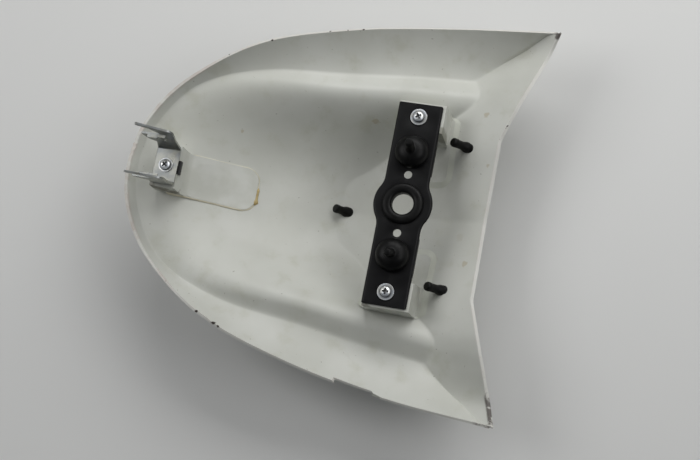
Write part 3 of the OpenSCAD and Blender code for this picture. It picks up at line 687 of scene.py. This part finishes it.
# Marks on the moulding as (x, y, z, radius), or (x, y, radius) where they lie on a surface
FLOOR_STAINS = [(-128, 0, -34, 6), (12, 46, -36, 4), (24, -30, -32, 4), (40, -12, -26, 4)]
DARK_CHIPS = [(-77, 119.5, -2, 1.4), (-64, 122.6, -3.5, 1.2), (-53, 124.5, -4.5, 1.0), (-117, 105.5, 2, 1.4),
              (-130, -99.5, 2.2, 1.4), (-116, -105.3, 1.8, 2.2), (-112.5, -107, 1.3, 1.3)]
SMUDGES = [(-36, 64, 3.0), (45, 77, 2.2), (48, -32, 2.4), (52, 40, 1.6), (-132, 41, 1.6)]
HORN_WEAR = [(83.5, -132, 14), (86, 139.5, 4)]
CLEAN, DULL, CLOUDY, STAINED, SPECK, SMUDGED = "C7C8C1", "BFC0B8", "A9A996", "9A8F6C", "6B6658", "9C8A5E"
# The pale rim colour is a painted highlight on the rim's top edge.
RIM_HIGHLIGHT, WORN_RIM, CHIPPED = "D6D5CF", "B39C92", "3A302B"


def marks_on(surface, marks):
    """Marks given as (x, y, radius), put on a surface."""
    return [(*on_surface(surface, x, y), radius) for x, y, radius in marks]


def moulded_plastic():
    """Aged cream-white moulding: faint cloudiness, worn pinkish rim, dark chips, brown stains and specks, and a
    painted highlight along the rim's top edge.
    """
    material, tree, shader, where = node_tree("aged white moulding")
    depth = kept_value(tree, "rim_depth")
    height, mask = grain(tree, where, 700.0, 22.0)
    cloud = ramp(tree, noise(tree, where, 55.0, 5.0, 0.6), 0.52, 0.74)
    stain = spots(tree, where, FLOOR_STAINS, 0.3)
    speck = ramp(tree, noise(tree, where, 420.0, 2.0, 0.5), 0.735, 0.77)
    smudge = spots(tree, where, marks_on(floor_height, SMUDGES), 0.5)
    # Painted highlight: the last millimetre of the rim is lightened.
    painted_rim_highlight = ramp(tree, depth, 0.9, 0.2)
    patchy = ramp(tree, noise(tree, where, 90.0, 5.0, 0.65), 0.38, 0.66)
    split = tree.nodes.new("ShaderNodeSeparateXYZ")
    tree.links.new(where, split.inputs[0])
    at_tail = times(tree, ramp(tree, split.outputs["X"], -0.12, -0.17), 0.32)
    worn = times(tree, times(tree, ramp(tree, depth, 2.6, 0.3), patchy), math_node(tree, "ADD", at_tail, 0.1))
    horns = spots(tree, where, marks_on(face, HORN_WEAR), 0.2)
    scuffs = times(tree, times(tree, ramp(tree, depth, 2.8, 1.0), horns),
                   ramp(tree, noise(tree, where, 190.0, 4.0, 0.7), 0.36, 0.5))
    chips = math_node(tree, "MAXIMUM", spots(tree, where, DARK_CHIPS, 0.5), times(tree, scuffs, 0.85))
    small = times(tree, ramp(tree, depth, 1.6, 0.5),
                  ramp(tree, noise(tree, where, 200.0, 3.0, 0.6), 0.7, 0.73))
    shown = mix_colour(tree, ramp(tree, mask, 0.35, 0.68), colour(CLEAN), colour(DULL))
    for amount, tone in ((times(tree, cloud, 0.35), CLOUDY), (times(tree, stain, 0.16), STAINED),
                         (times(tree, speck, 0.55), SPECK), (times(tree, smudge, 0.4), SMUDGED),
                         (times(tree, painted_rim_highlight, 0.75), RIM_HIGHLIGHT), (worn, WORN_RIM),
                         (math_node(tree, "MAXIMUM", chips, small), CHIPPED)):
        shown = mix_colour(tree, amount, shown, colour(tone))
    tree.links.new(shown, shader.inputs["Base Color"])
    tree.links.new(math_node(tree, "ADD", times(tree, mask, 0.12), 0.4), shader.inputs["Roughness"])
    shader.inputs["Specular IOR Level"].default_value = 0.45
    bump(tree, shader, height, 0.09)
    return material


# Darkening spots as (spots, colour, amount). On the right pedestal the two spots near y = 53 are painted shade
# on its side towards the middle, and the spot at y = -76 on the left pedestal is a real brown smear; at the
# tail block's left foot the spots are painted shade together with dirty glue.
PEDESTAL_SHADE_AND_DIRT = ([(19, 53, -6, 9), (20, 52.5, -16, 9), (-13, -76, -4, 5)], "5E5B47", 0.6)
TAIL_SHADE_AND_DIRT = ([(-184, -19.5, 3, 9), (-176, -19.5, -2, 9), (-169, -19, -7, 7.5)], "5A523F", 0.75)

MOULDING = moulded_plastic()
BLOCK_WHITE = simple_finish("white block", "C9CBC2", "BFC1B6", 0.42, 0.15, blotch=60.0, relief=0.05)
PEDESTAL_WHITE = simple_finish("white pedestal", "C9CAC3", "BFC0B7", 0.42, 0.15, blotch=60.0, relief=0.05,
                               shade_and_dirt=PEDESTAL_SHADE_AND_DIRT)
TAIL_WHITE = simple_finish("white tail block", "C9CAC3", "BFC0B7", 0.42, 0.15, blotch=60.0, relief=0.05,
                           shade_and_dirt=TAIL_SHADE_AND_DIRT)
BLACK_PAINT = simple_finish("black satin paint", "0A0A0B", "0E0E0F", 0.4, 0.1, scale=1500.0, blotch=60.0,
                            relief=0.01, specular=0.22)
RUBBER = simple_finish("black rubber", "040404", "080808", 0.38, 0.14, scale=1500.0, blotch=160.0,
                       relief=0.01, specular=0.2)
# The zinc pieces carry painted shade: near-black in the cross recesses, round the rim of each head, on the
# shank, and on each washer under and round its screw head.
ZINC = simple_finish("zinc plating", "F0F0EC", "DDE2E8", 0.33, 0.1, metallic=0.85, blotch=200.0, relief=0.004,
                     painted_shade="1C1C1E")
BRACKET_ZINC = simple_finish("bracket plating", "ABABA3", "989B9B", 0.27, 0.12, metallic=1.0, scale=1200.0,
                             blotch=150.0, relief=0.01)
SPRING_STEEL = simple_finish("black spring steel", "1A1A1B", "242425", 0.42, 0.1, metallic=0.3)
BRASS = simple_finish("brass", "B08D3C", "9C7A30", 0.3, 0.15, metallic=1.0, relief=0.01)
# The glue line round the tongue: the pale tone of a thin glue line, lightened further as painted light to
# offset the shade on its left side.
LIGHTENED_GLUE = simple_finish("amber glue", "D8D1B8", "DED8C4", 0.35, 0.2, blotch=200.0, relief=0.03)
DARK_GLUE = simple_finish("dark amber glue", "A9935F", "B9A675", 0.35, 0.2, blotch=200.0, relief=0.03)
PASTE = simple_finish("bonding paste", "C6C8BE", "BEC0B4", 0.45, 0.15, blotch=60.0, relief=0.05)


def plate_side(y):
    """Half width of the plate at each y: straight bar, hollow fillet and round middle."""
    half = PLATE_WIDTH / 2
    cx = half + WAIST_RADIUS
    cy = math.sqrt((BOSS_RADIUS + WAIST_RADIUS) ** 2 - cx * cx)
    touch = cy * BOSS_RADIUS / (BOSS_RADIUS + WAIST_RADIUS)
    d = np.abs(y)
    boss = np.sqrt(np.maximum(BOSS_RADIUS ** 2 - d ** 2, 0))
    waist = cx - np.sqrt(np.maximum(WAIST_RADIUS ** 2 - (cy - d) ** 2, 0))
    return np.where(d < touch, boss, np.where(d < cy, waist, half))


def plate_outline():
    """The plate's outline as a closed line of points, with outward normals.

    One long side and its corner are worked out, with points close together round the boss, and are mirrored.
    """
    half_width, end = PLATE_WIDTH / 2, PLATE_LENGTH / 2
    straight = np.linspace(32, end - CORNER_RADIUS, 12)
    y = np.concatenate([-straight[::-1], np.linspace(-31, 31, 150), straight])
    side = np.stack([plate_side(y), y], -1)
    a = np.linspace(0, math.pi / 2, 9)[1:]
    corner = np.stack([half_width - CORNER_RADIUS + CORNER_RADIUS * np.cos(a),
                       end - CORNER_RADIUS + CORNER_RADIUS * np.sin(a)], -1)
    top_x = np.linspace(half_width - CORNER_RADIUS, CORNER_RADIUS - half_width, 12)[1:-1]
    top = np.stack([top_x, np.full(10, end)], -1)
    loop = np.vstack([side, corner, top, corner[::-1] * np.array([-1, 1]), side[::-1] * np.array([-1, 1]),
                      -corner, -top, corner[::-1] * np.array([1, -1])])
    loop = loop[np.linalg.norm(loop - np.roll(loop, 1, 0), axis=1) > 1e-6]
    forward = np.roll(loop, -1, 0) - np.roll(loop, 1, 0)
    normal = np.stack([forward[:, 1], -forward[:, 0]], -1)
    return loop, normal / np.linalg.norm(normal, axis=1, keepdims=True)


HOLE_SIDES = 48


def circle_loop(y, radius):
    """A circle on the plate's middle line, as a closed line of points."""
    a = angles_round(HOLE_SIDES)
    return np.stack([radius * np.cos(a), y + radius * np.sin(a)], -1)


def contains(loop, points):
    """True for the points inside a closed line, by counting crossings."""
    a, b = loop, np.roll(loop, -1, 0)
    py = points[:, 1][:, None]
    crosses = (a[:, 1] > py) != (b[:, 1] > py)
    rise = np.where(b[:, 1] == a[:, 1], 1e-12, b[:, 1] - a[:, 1])
    at = a[:, 0] + (py - a[:, 1]) / rise * (b[:, 0] - a[:, 0])
    return (crosses & (points[:, 0][:, None] < at)).sum(1) % 2 == 1


def filled(outline, holes, z):
    """Triangles of a flat area with holes, at one height: those between the loops, inside the outline only."""
    loops = [outline] + holes
    edges, start = [], 0
    for loop in loops:
        k = np.arange(len(loop))
        edges.append(np.stack([start + k, start + (k + 1) % len(loop)], -1))
        start += len(loop)
    found = delaunay_2d_cdt(np.vstack(loops).tolist(), np.vstack(edges).tolist(), [], 0, 1e-6)
    flat = np.array([list(v) for v in found[0]])
    tris = np.array(found[2])
    centre = flat[tris].mean(1)
    keep = contains(outline, centre)
    for hole in holes:
        keep &= ~contains(hole, centre)
    return np.column_stack([flat, np.full(len(flat), float(z))]), tris[keep]


def pressed_plate():
    """The mounting plate: an edge section carried round the outline, with a flat top and a flat underside."""
    loop, normal = plate_outline()
    d = np.abs(loop[:, 1])
    bend = 0.35 + 1.55 * np.clip((PLATE_LENGTH / 2 - d) / CORNER_RADIUS, 0, 1)
    lip_from, lip_to = BOSS_RADIUS + LIP_GAP, PEDESTAL_Y - PEDESTAL_WIDTH / 2 - LIP_GAP
    lip = np.where((d > lip_from) & (d < lip_to) & (np.abs(loop[:, 0]) > 12), LIP_DEPTH, 0.0)
    lip = (np.roll(lip, 1) + lip + np.roll(lip, -1)) / 3
    depth = PLATE_THICK + lip
    rings = [(-bend * (1 - np.sin(k)), -bend * (1 - np.cos(k))) for k in np.linspace(0, math.pi / 2, 7)]
    ease, half_ease = 0.25, 0.07
    rings += [(0 * d, -depth + ease), (0 * d - ease, -depth), (0 * d - PLATE_THICK + ease, -depth),
              (0 * d - PLATE_THICK, -np.maximum(depth - ease, PLATE_THICK)),
              (0 * d - PLATE_THICK, 0 * d - PLATE_THICK)]
    parts = [np.concatenate([np.column_stack([loop + normal * off[:, None], z]) for off, z in rings])]
    faces = list(grid_faces(len(rings), len(loop), wrap=True))
    count = len(parts[0])
    holes = [(0, MIDDLE_HOLE)]
    for y, radius in ((SMALL_HOLE_Y, SMALL_HOLE), (STOP_Y, STOP_HOLE), (SCREW_Y, SCREW_HOLE)):
        holes += [(y, radius), (-y, radius)]
    circles = [circle_loop(y, radius + ease) for y, radius in holes]
    for z, edge_loop, turn in ((0.0, loop + normal * rings[0][0][:, None], 1),
                               (-PLATE_THICK, loop - normal * PLATE_THICK, -1)):
        flat, tris = filled(edge_loop, circles, z)
        faces += list(tris[:, ::turn] + count)
        parts.append(flat)
        count += len(flat)
    for y, radius in holes:
        rows = [(radius + ease, 0), (radius + half_ease, -half_ease), (radius, -ease),
                (radius, -PLATE_THICK + ease), (radius + half_ease, -PLATE_THICK + half_ease),
                (radius + ease, -PLATE_THICK)]
        wall = np.concatenate([np.column_stack([circle_loop(y, r), np.full(HOLE_SIDES, float(z))])
                               for r, z in rows])
        faces += list(grid_faces(len(rows), HOLE_SIDES, wrap=True) + count)
        parts.append(wall)
        count += len(wall)
    return mesh_object("pressed_plate", np.concatenate(parts), faces, 45)


ARM_LONG, ARM_WIDE, ARM_DEEP = 2.15, 0.62, 1.7
THREAD_DEPTH = 0.22


def pan_screw(name, x, y, seat, thread, length, turn):
    """A pan-head screw: the head is a height over a disc with a cross recess, the shank a helix of ridges.

    The recess is where |u| and |v|, turned with the screw, lie in one of two bars. Its middle is the deepest.
    """
    rings, sides = 64, 288
    r = np.linspace(0, 1, rings)[:, None]
    a = angles_round(sides)[None, :]
    reach = SCREW_HEAD * (1 - (1 - r) ** 1.25)
    px, py = reach * np.cos(a), reach * np.sin(a)
    dome = HEAD_RISE - HEAD_DOME * (reach / SCREW_HEAD) ** 3.2
    c, d = math.cos(turn), math.sin(turn)
    u, v = np.abs(c * px + d * py), np.abs(c * py - d * px)
    arm = np.minimum(np.maximum(u / ARM_LONG, v / ARM_WIDE), np.maximum(v / ARM_LONG, u / ARM_WIDE))
    edge = np.clip((1.15 - arm) / 0.3, 0, 1)
    shallower = 1 - 0.35 * np.clip(np.hypot(px, py) / 2.2, 0, 1)
    deep = ARM_DEEP * edge * edge * (3 - 2 * edge) * shallower
    top = np.stack([px, py, dome - deep + seat], -1)
    rim = rounded_profile([(SCREW_HEAD, HEAD_RISE - HEAD_DOME, 0), (SCREW_HEAD, 0, 0.3), (thread / 2, 0, 0),
                           (thread / 2, -0.4, 0)], 4)
    turns = np.linspace(-0.4, -length + 0.6, int(length * 6))[:, None]
    ridge = THREAD_DEPTH * np.abs((turns / THREAD_PITCH + a / (2 * math.pi)) % 1 * 2 - 1)
    ends = np.array([[0.3 * thread], [0.0]])
    parts = [top]
    for radius, z in ((rim[:, :1] + 0 * a, rim[:, 1:]), (thread / 2 - ridge, turns), (ends + 0 * a, -length)):
        parts.append(np.stack([radius * np.cos(a), radius * np.sin(a), z + seat + 0 * radius], -1))
    points = np.concatenate(parts) + np.array([x, y, 0])
    # Painted shade: the cross recess and the rim of the head are darkened, and the shank is dark all over.
    darkening = np.maximum(edge ** 1.5, np.clip((reach / SCREW_HEAD - 0.88) / 0.1, 0, 0.9))
    shade_amount = np.concatenate([darkening, np.full((len(points) - rings, sides), 0.9)])
    return mesh_object(name, points.reshape(-1, 3), grid_faces(len(points), sides, wrap=True), 40, shade_amount)


def washer(name, bore, radius, centre, painted_shade):
    """A flat washer: a rectangular section with eased edges, turned round its axis."""
    line = [(bore, 0.1, 0), (bore, 0.02, 0), (radius - 0.1, 0.02, 0.1), (radius, 0.5, 0.1),
            (radius - 0.1, WASHER_THICK, 0.15), (bore, WASHER_THICK, 0.1), (bore, 0.1, 0)]
    # The washer is darkened with painted shade inside the given radius, round the screw head.
    return turned(name, line, centre, painted_shade=painted_shade)


def walked(path):
    """The distance walked along a line at each of its points."""
    step = np.diff(path, axis=0)
    return np.concatenate([[0], np.cumsum(np.hypot(step[:, 0], step[:, 1]))])


def bead(name, path, width, height, seed, bed, plenty):
    """A bead of glue along an open line on the moulding, its section half round, its width wandering.

    plenty is a table of (share of the line, how much of the width is left there).
    """
    rng = np.random.default_rng(seed)
    at = walked(path)
    s = np.arange(0, at[-1], 0.8)
    x, y = np.interp(s, at, path[:, 0]), np.interp(s, at, path[:, 1])
    forward = np.stack([np.gradient(x), np.gradient(y)], -1)
    forward /= np.linalg.norm(forward, axis=1, keepdims=True)
    side = np.stack([-forward[:, 1], forward[:, 0]], -1)
    wander = np.convolve(rng.normal(0, 1, len(s) + 12), np.ones(13) / 13, "valid")[:len(s)]
    amount = np.interp(s / s[-1], plenty[:, 0], plenty[:, 1])
    tapered = np.clip(np.minimum(s, s[-1] - s) / 2, 0.05, 1)
    half = (width / 2 * amount * (1 + 0.9 * wander) * tapered)[:, None]
    sides = 10
    a = angles_round(sides)[None, :]
    px = x[:, None] + side[:, :1] * half * np.cos(a)
    py = y[:, None] + side[:, 1:] * half * np.cos(a)
    pz = bed(px, py) + height * np.sin(a) * np.clip(half / width * 2, 0.1, 1.3)
    points = np.stack([px, py, pz], -1).reshape(-1, 3)
    caps = [list(range(sides - 1, -1, -1)), list(range((len(s) - 1) * sides, len(s) * sides))]
    return mesh_object(name, points, list(grid_faces(len(s), sides, wrap=True)) + caps, 60)


def feather(name, path, width, height, bed):
    """A smoothed edge of bonding paste outside a closed line, from a flange's height down to the moulding.

    Its section is a list of (distance outwards, height over the moulding), carried round the line.
    """
    at = walked(path)
    s = np.linspace(0, at[-1], int(at[-1]), endpoint=False)
    x, y = np.interp(s, at, path[:, 0]), np.interp(s, at, path[:, 1])
    ahead = np.stack([np.roll(x, -1) - np.roll(x, 1), np.roll(y, -1) - np.roll(y, 1)], -1)
    ahead /= np.linalg.norm(ahead, axis=1, keepdims=True)
    turn = np.sign(np.sum(x * np.roll(y, -1) - np.roll(x, -1) * y))
    out = np.stack([ahead[:, 1], -ahead[:, 0]], -1) * turn
    section = [(-0.6, -0.3), (-0.6, height + 0.06), (-0.1, height + 0.05), (0.25 * width, 0.72 * height),
               (0.5 * width, 0.4 * height), (0.75 * width, 0.14 * height), (width, -0.12),
               (0.5 * width, -0.4)]
    narrower = np.interp(np.abs(y), [70, 73.5], [1, 0.3])
    rows = []
    for off, up in section:
        px, py = x + out[:, 0] * off * narrower, y + out[:, 1] * off * narrower
        rows.append(np.stack([px, py, bed(px, py) + up], -1))
    points = np.concatenate(rows + rows[:1])
    return mesh_object(name, points, grid_faces(len(section) + 1, len(s), wrap=True), 60)


def rounded_box_line(x0, x1, y0, y1, r):
    """The closed line round a rectangle with rounded corners: four quarter circles joined by straight sides."""
    a = np.linspace(0, math.pi / 2, CORNER_STEPS)
    parts = []
    for cx, cy, turn in ((x1 - r, y1 - r, 0), (x0 + r, y1 - r, 1), (x0 + r, y0 + r, 2), (x1 - r, y0 + r, 3)):
        b = a + turn * math.pi / 2
        parts.append(np.stack([cx + r * np.cos(b), cy + r * np.sin(b)], -1))
    line = np.vstack(parts)
    return np.vstack([line, line[:1]])


def peg_profile(length):
    """A bone-shaped rubber peg: round foot, narrow waist, round head."""
    return [(0, -5, 0), (3.9, -5, 0.5), (4.0, 0.4, 0.8), (3.8, length * 0.13, 1.0),
            (3.05, length * 0.32, 1.2), (3.0, length * 0.64, 1.2), (3.3, length * 0.76, 0.9),
            (3.3, length * 0.94, 0.6), (2.6, length, 0.4), (0, length, 0)]


# Profiles as (radius, height, ease), and how each stop's tip leans as (along x, along y, from this height)
GROMMET = [(7.7, -4.4, 0), (12.6, -4.4, 0.8), (13.6, -2.05, 0.3), (10.1, -2.05, 0), (10.1, 0, 0),
           (14.75, 0, 0.1), (14.75, 1.2, 0.8), (13.2, 2.5, 1.2), (10.0, 2.75, 1.4), (8.1, 1.7, 1.0),
           (7.7, -0.2, 0.6), (7.7, -4.4, 0)]
STOP_UNDER = [(0, -5, 0), (5, -5, 0.5), (7, -3, 0.4), (7, -2.02, 0.1), (4.95, -2.02, 0), (4.95, 0.02, 0),
              (11.7, 0.02, 0.2)]
STOP_DOME = [(3.1 + 8.9 * math.cos(k), 2 + 8 * math.sin(k), 0) for k in np.linspace(0, 1.45, 14)]
STOP_TIP = [(3.2, 10.2, 0.5), (3.0, 17.6, 0.6), (2.2, 18.8, 0.5), (0, 19, 0)]
TIP_LEANS = {"right": (-0.05, 0.3, 10), "left": (-0.12, -0.15, 10)}
PEGS = (("right", 34.3, 52.7, 14), ("left", 34.3, -52.7, 14), ("centre", -51.5, 0, 11))

# The glue round the tongue, as shares of its line and of its width, and the box of each pedestal's flange
CORNER_STEPS = 8
TONGUE_BOX, TONGUE_ROUND, NEAR_START, FAR_END, FRONT_END = (-182, -115.7, -16.1, 16.1), 9.3, -176, -164, 5
GLUE_PLENTY = np.array([[0, 1.1], [0.06, 1], [0.5, 0.7], [0.6, 0.2], [0.8, 0.12], [1, 0.2]])
BLOB_PLENTY = np.array([[0, 0.3], [0.1, 1.4], [0.22, 1.5], [0.34, 0.8], [0.7, 0.9], [0.78, 1.3], [0.86, 0.7],
                        [1, 0.5]])
FLANGE_BOX, FLANGE_ROUND, PASTE_WIDTH, PASTE_HEIGHT = (-18, 22.5, 27, 74), 5, 4.6, 1.1

dress(moulding(), MOULDING, "shell", "cowl_shell")
dress(pressed_plate(), BLACK_PAINT, "black_steel", "mount_plate")
dress(eased_copy("tail_bracket", 0.3), BRACKET_ZINC, "zinc", "tail_bracket")
dress(eased_copy("tail_block", 0.3), TAIL_WHITE, "shell", "tail_block")
dress(eased_copy("tail_clip_nut", 0.15), SPRING_STEEL, "black_steel", "tail_clip_nut")
for hand in ("right", "left"):
    dress(eased_copy("pedestal_" + hand, 0.5), PEDESTAL_WHITE, "shell", "pedestal_" + hand)
dress(turned("grommet_ring", GROMMET, (0, 0, 0), 128), RUBBER, "rubber", "centre_grommet")
for hand, s in (("right", 1), ("left", -1)):
    stop = turned("rubber_stop_" + hand, STOP_UNDER + STOP_DOME + STOP_TIP, (0, s * STOP_Y, 0),
                  tip_lean=TIP_LEANS[hand])
    dress(stop, RUBBER, "rubber", "bump_stop_" + hand)
    ring = washer("washer_ring_" + hand, SCREW_HOLE, 6.0, (0, s * SCREW_Y, 0), 4.2)
    dress(ring, ZINC, "zinc", "plate_washer_" + hand)
    screw = pan_screw("cross_screw_" + hand, 0, s * SCREW_Y, WASHER_THICK, 4, 11, 0.3 + 0.25 * s)
    dress(screw, ZINC, "zinc", "plate_screw_" + hand)
ring = washer("tail_washer_ring", 2.75, 5.2, (TAIL_SCREW_X, 0, BRACKET_Z), 4.1)
dress(ring, ZINC, "zinc", "tail_washer")
screw = pan_screw("tail_cross_screw", TAIL_SCREW_X, 0, BRACKET_Z + WASHER_THICK, 5, 12, 0.9)
dress(screw, ZINC, "zinc", "tail_screw")
for name, x, y, length in PEGS:
    peg = turned("rubber_peg_" + name, peg_profile(length), on_surface(floor_height, x, y), 56, lean=PEG_LEAN,
                 bed=floor_height)
    dress(peg, RUBBER, "rubber", "peg_" + name)

tongue_box = rounded_box_line(*TONGUE_BOX, TONGUE_ROUND)[:-1]
tongue_line = np.vstack([[[NEAR_START, TONGUE_BOX[2]]], tongue_box[-CORNER_STEPS:], tongue_box[:CORNER_STEPS],
                         [[FAR_END, TONGUE_BOX[3]]]])
front_line = np.vstack([tongue_box[-3:], [[TONGUE_BOX[1], FRONT_END]]]) + np.array([0.25, 0])
dress(bead("tongue_glue", tongue_line, 2.0, 1.05, 4, floor_height, GLUE_PLENTY), LIGHTENED_GLUE, "shell")
dress(bead("tongue_glue_front", front_line, 1.8, 1.15, 6, floor_height, BLOB_PLENTY), DARK_GLUE, "shell")
for hand, s in (("right", 1), ("left", -1)):
    line = rounded_box_line(*FLANGE_BOX, FLANGE_ROUND) * np.array([1, s])
    dress(feather("flange_paste_" + hand, line, PASTE_WIDTH, PASTE_HEIGHT, floor_height), PASTE, "shell")
for node, material in (("insert_right", BRASS), ("insert_left", BRASS), ("peg_spigots", BLOCK_WHITE)):
    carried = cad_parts[node]
    carried.data.materials.clear()
    carried.data.materials.append(material)


def pale_floor():
    """A plain pale floor under the hump, which keeps the shadow."""
    reach, low = 3.0, REST_Z * MM
    mesh = bpy.data.meshes.new("floor")
    corners = [(-reach, -reach, low), (reach, -reach, low), (reach, reach, low), (-reach, reach, low)]
    mesh.from_pydata(corners, [], [(0, 1, 2, 3)])
    floor = placed("floor", mesh)
    material, _, shader, _ = node_tree("pale floor")
    shader.inputs["Base Color"].default_value = colour("D9D9D7")
    shader.inputs["Roughness"].default_value = 0.8
    mesh.materials.append(material)


def stand(thing, right, up, back, place):
    """Puts a lamp or a camera at a place, looking against its backward direction."""
    m = np.eye(4)
    m[:3, 0], m[:3, 1], m[:3, 2], m[:3, 3] = right, up, back, place
    thing.matrix_world = Matrix(m.tolist())


def soft_lamp(name, place, size, power):
    """A soft lamp, size wide and high, that points at the middle of the cowl; places are in metres."""
    data = bpy.data.lights.new(name, "AREA")
    data.shape = "RECTANGLE"
    data.size, data.size_y = size
    data.energy = power
    back = np.array(place, float) - np.array(LIT_POINT, float)
    back /= np.linalg.norm(back)
    right = np.cross([0, 0, 1.0], back)
    right /= np.linalg.norm(right)
    stand(placed(name, data), right, np.cross(back, right), back, place)


def photo_camera():
    """The camera at the photograph's place, with its lens."""
    data = bpy.data.cameras.new("photo camera")
    data.sensor_width = SENSOR_WIDTH
    data.lens = FOCAL_PIXELS / PICTURE_WIDTH * SENSOR_WIDTH
    data.clip_start, data.clip_end = 0.05, 20
    right_of = (HOLE_PIXEL[0] - PICTURE_WIDTH / 2) / FOCAL_PIXELS * PLATE_DISTANCE
    below = (HOLE_PIXEL[1] - PICTURE_HEIGHT / 2) / FOCAL_PIXELS * PLATE_DISTANCE
    place = CAMERA_BACK * PLATE_DISTANCE - CAMERA_RIGHT * right_of + CAMERA_UP * below
    camera = placed("photo camera", data)
    stand(camera, CAMERA_RIGHT, CAMERA_UP, CAMERA_BACK, place * MM)
    bpy.context.scene.camera = camera


LIT_POINT = (-0.05, 0, -0.03)
LAMPS = (("window side", (0.16, 0.78, 0.66), (1.3, 0.5), 7.8),
         ("tail side", (-0.9, 0.1, 0.9), (0.7, 0.7), 4.6),
         ("front side", (0.9, 0.1, 0.9), (0.7, 0.7), 3.3))
pale_floor()
for name, place, size, power in LAMPS:
    soft_lamp(name, place, size, power)
photo_camera()

world = bpy.data.worlds.new("studio")
bpy.context.scene.world = world
world.use_nodes = True
sky = world.node_tree.nodes["Background"]
sky.inputs["Color"].default_value = (0.9, 0.95, 1.0, 1)
sky.inputs["Strength"].default_value = 0.09
bpy.context.scene.view_settings.view_transform = "Standard"
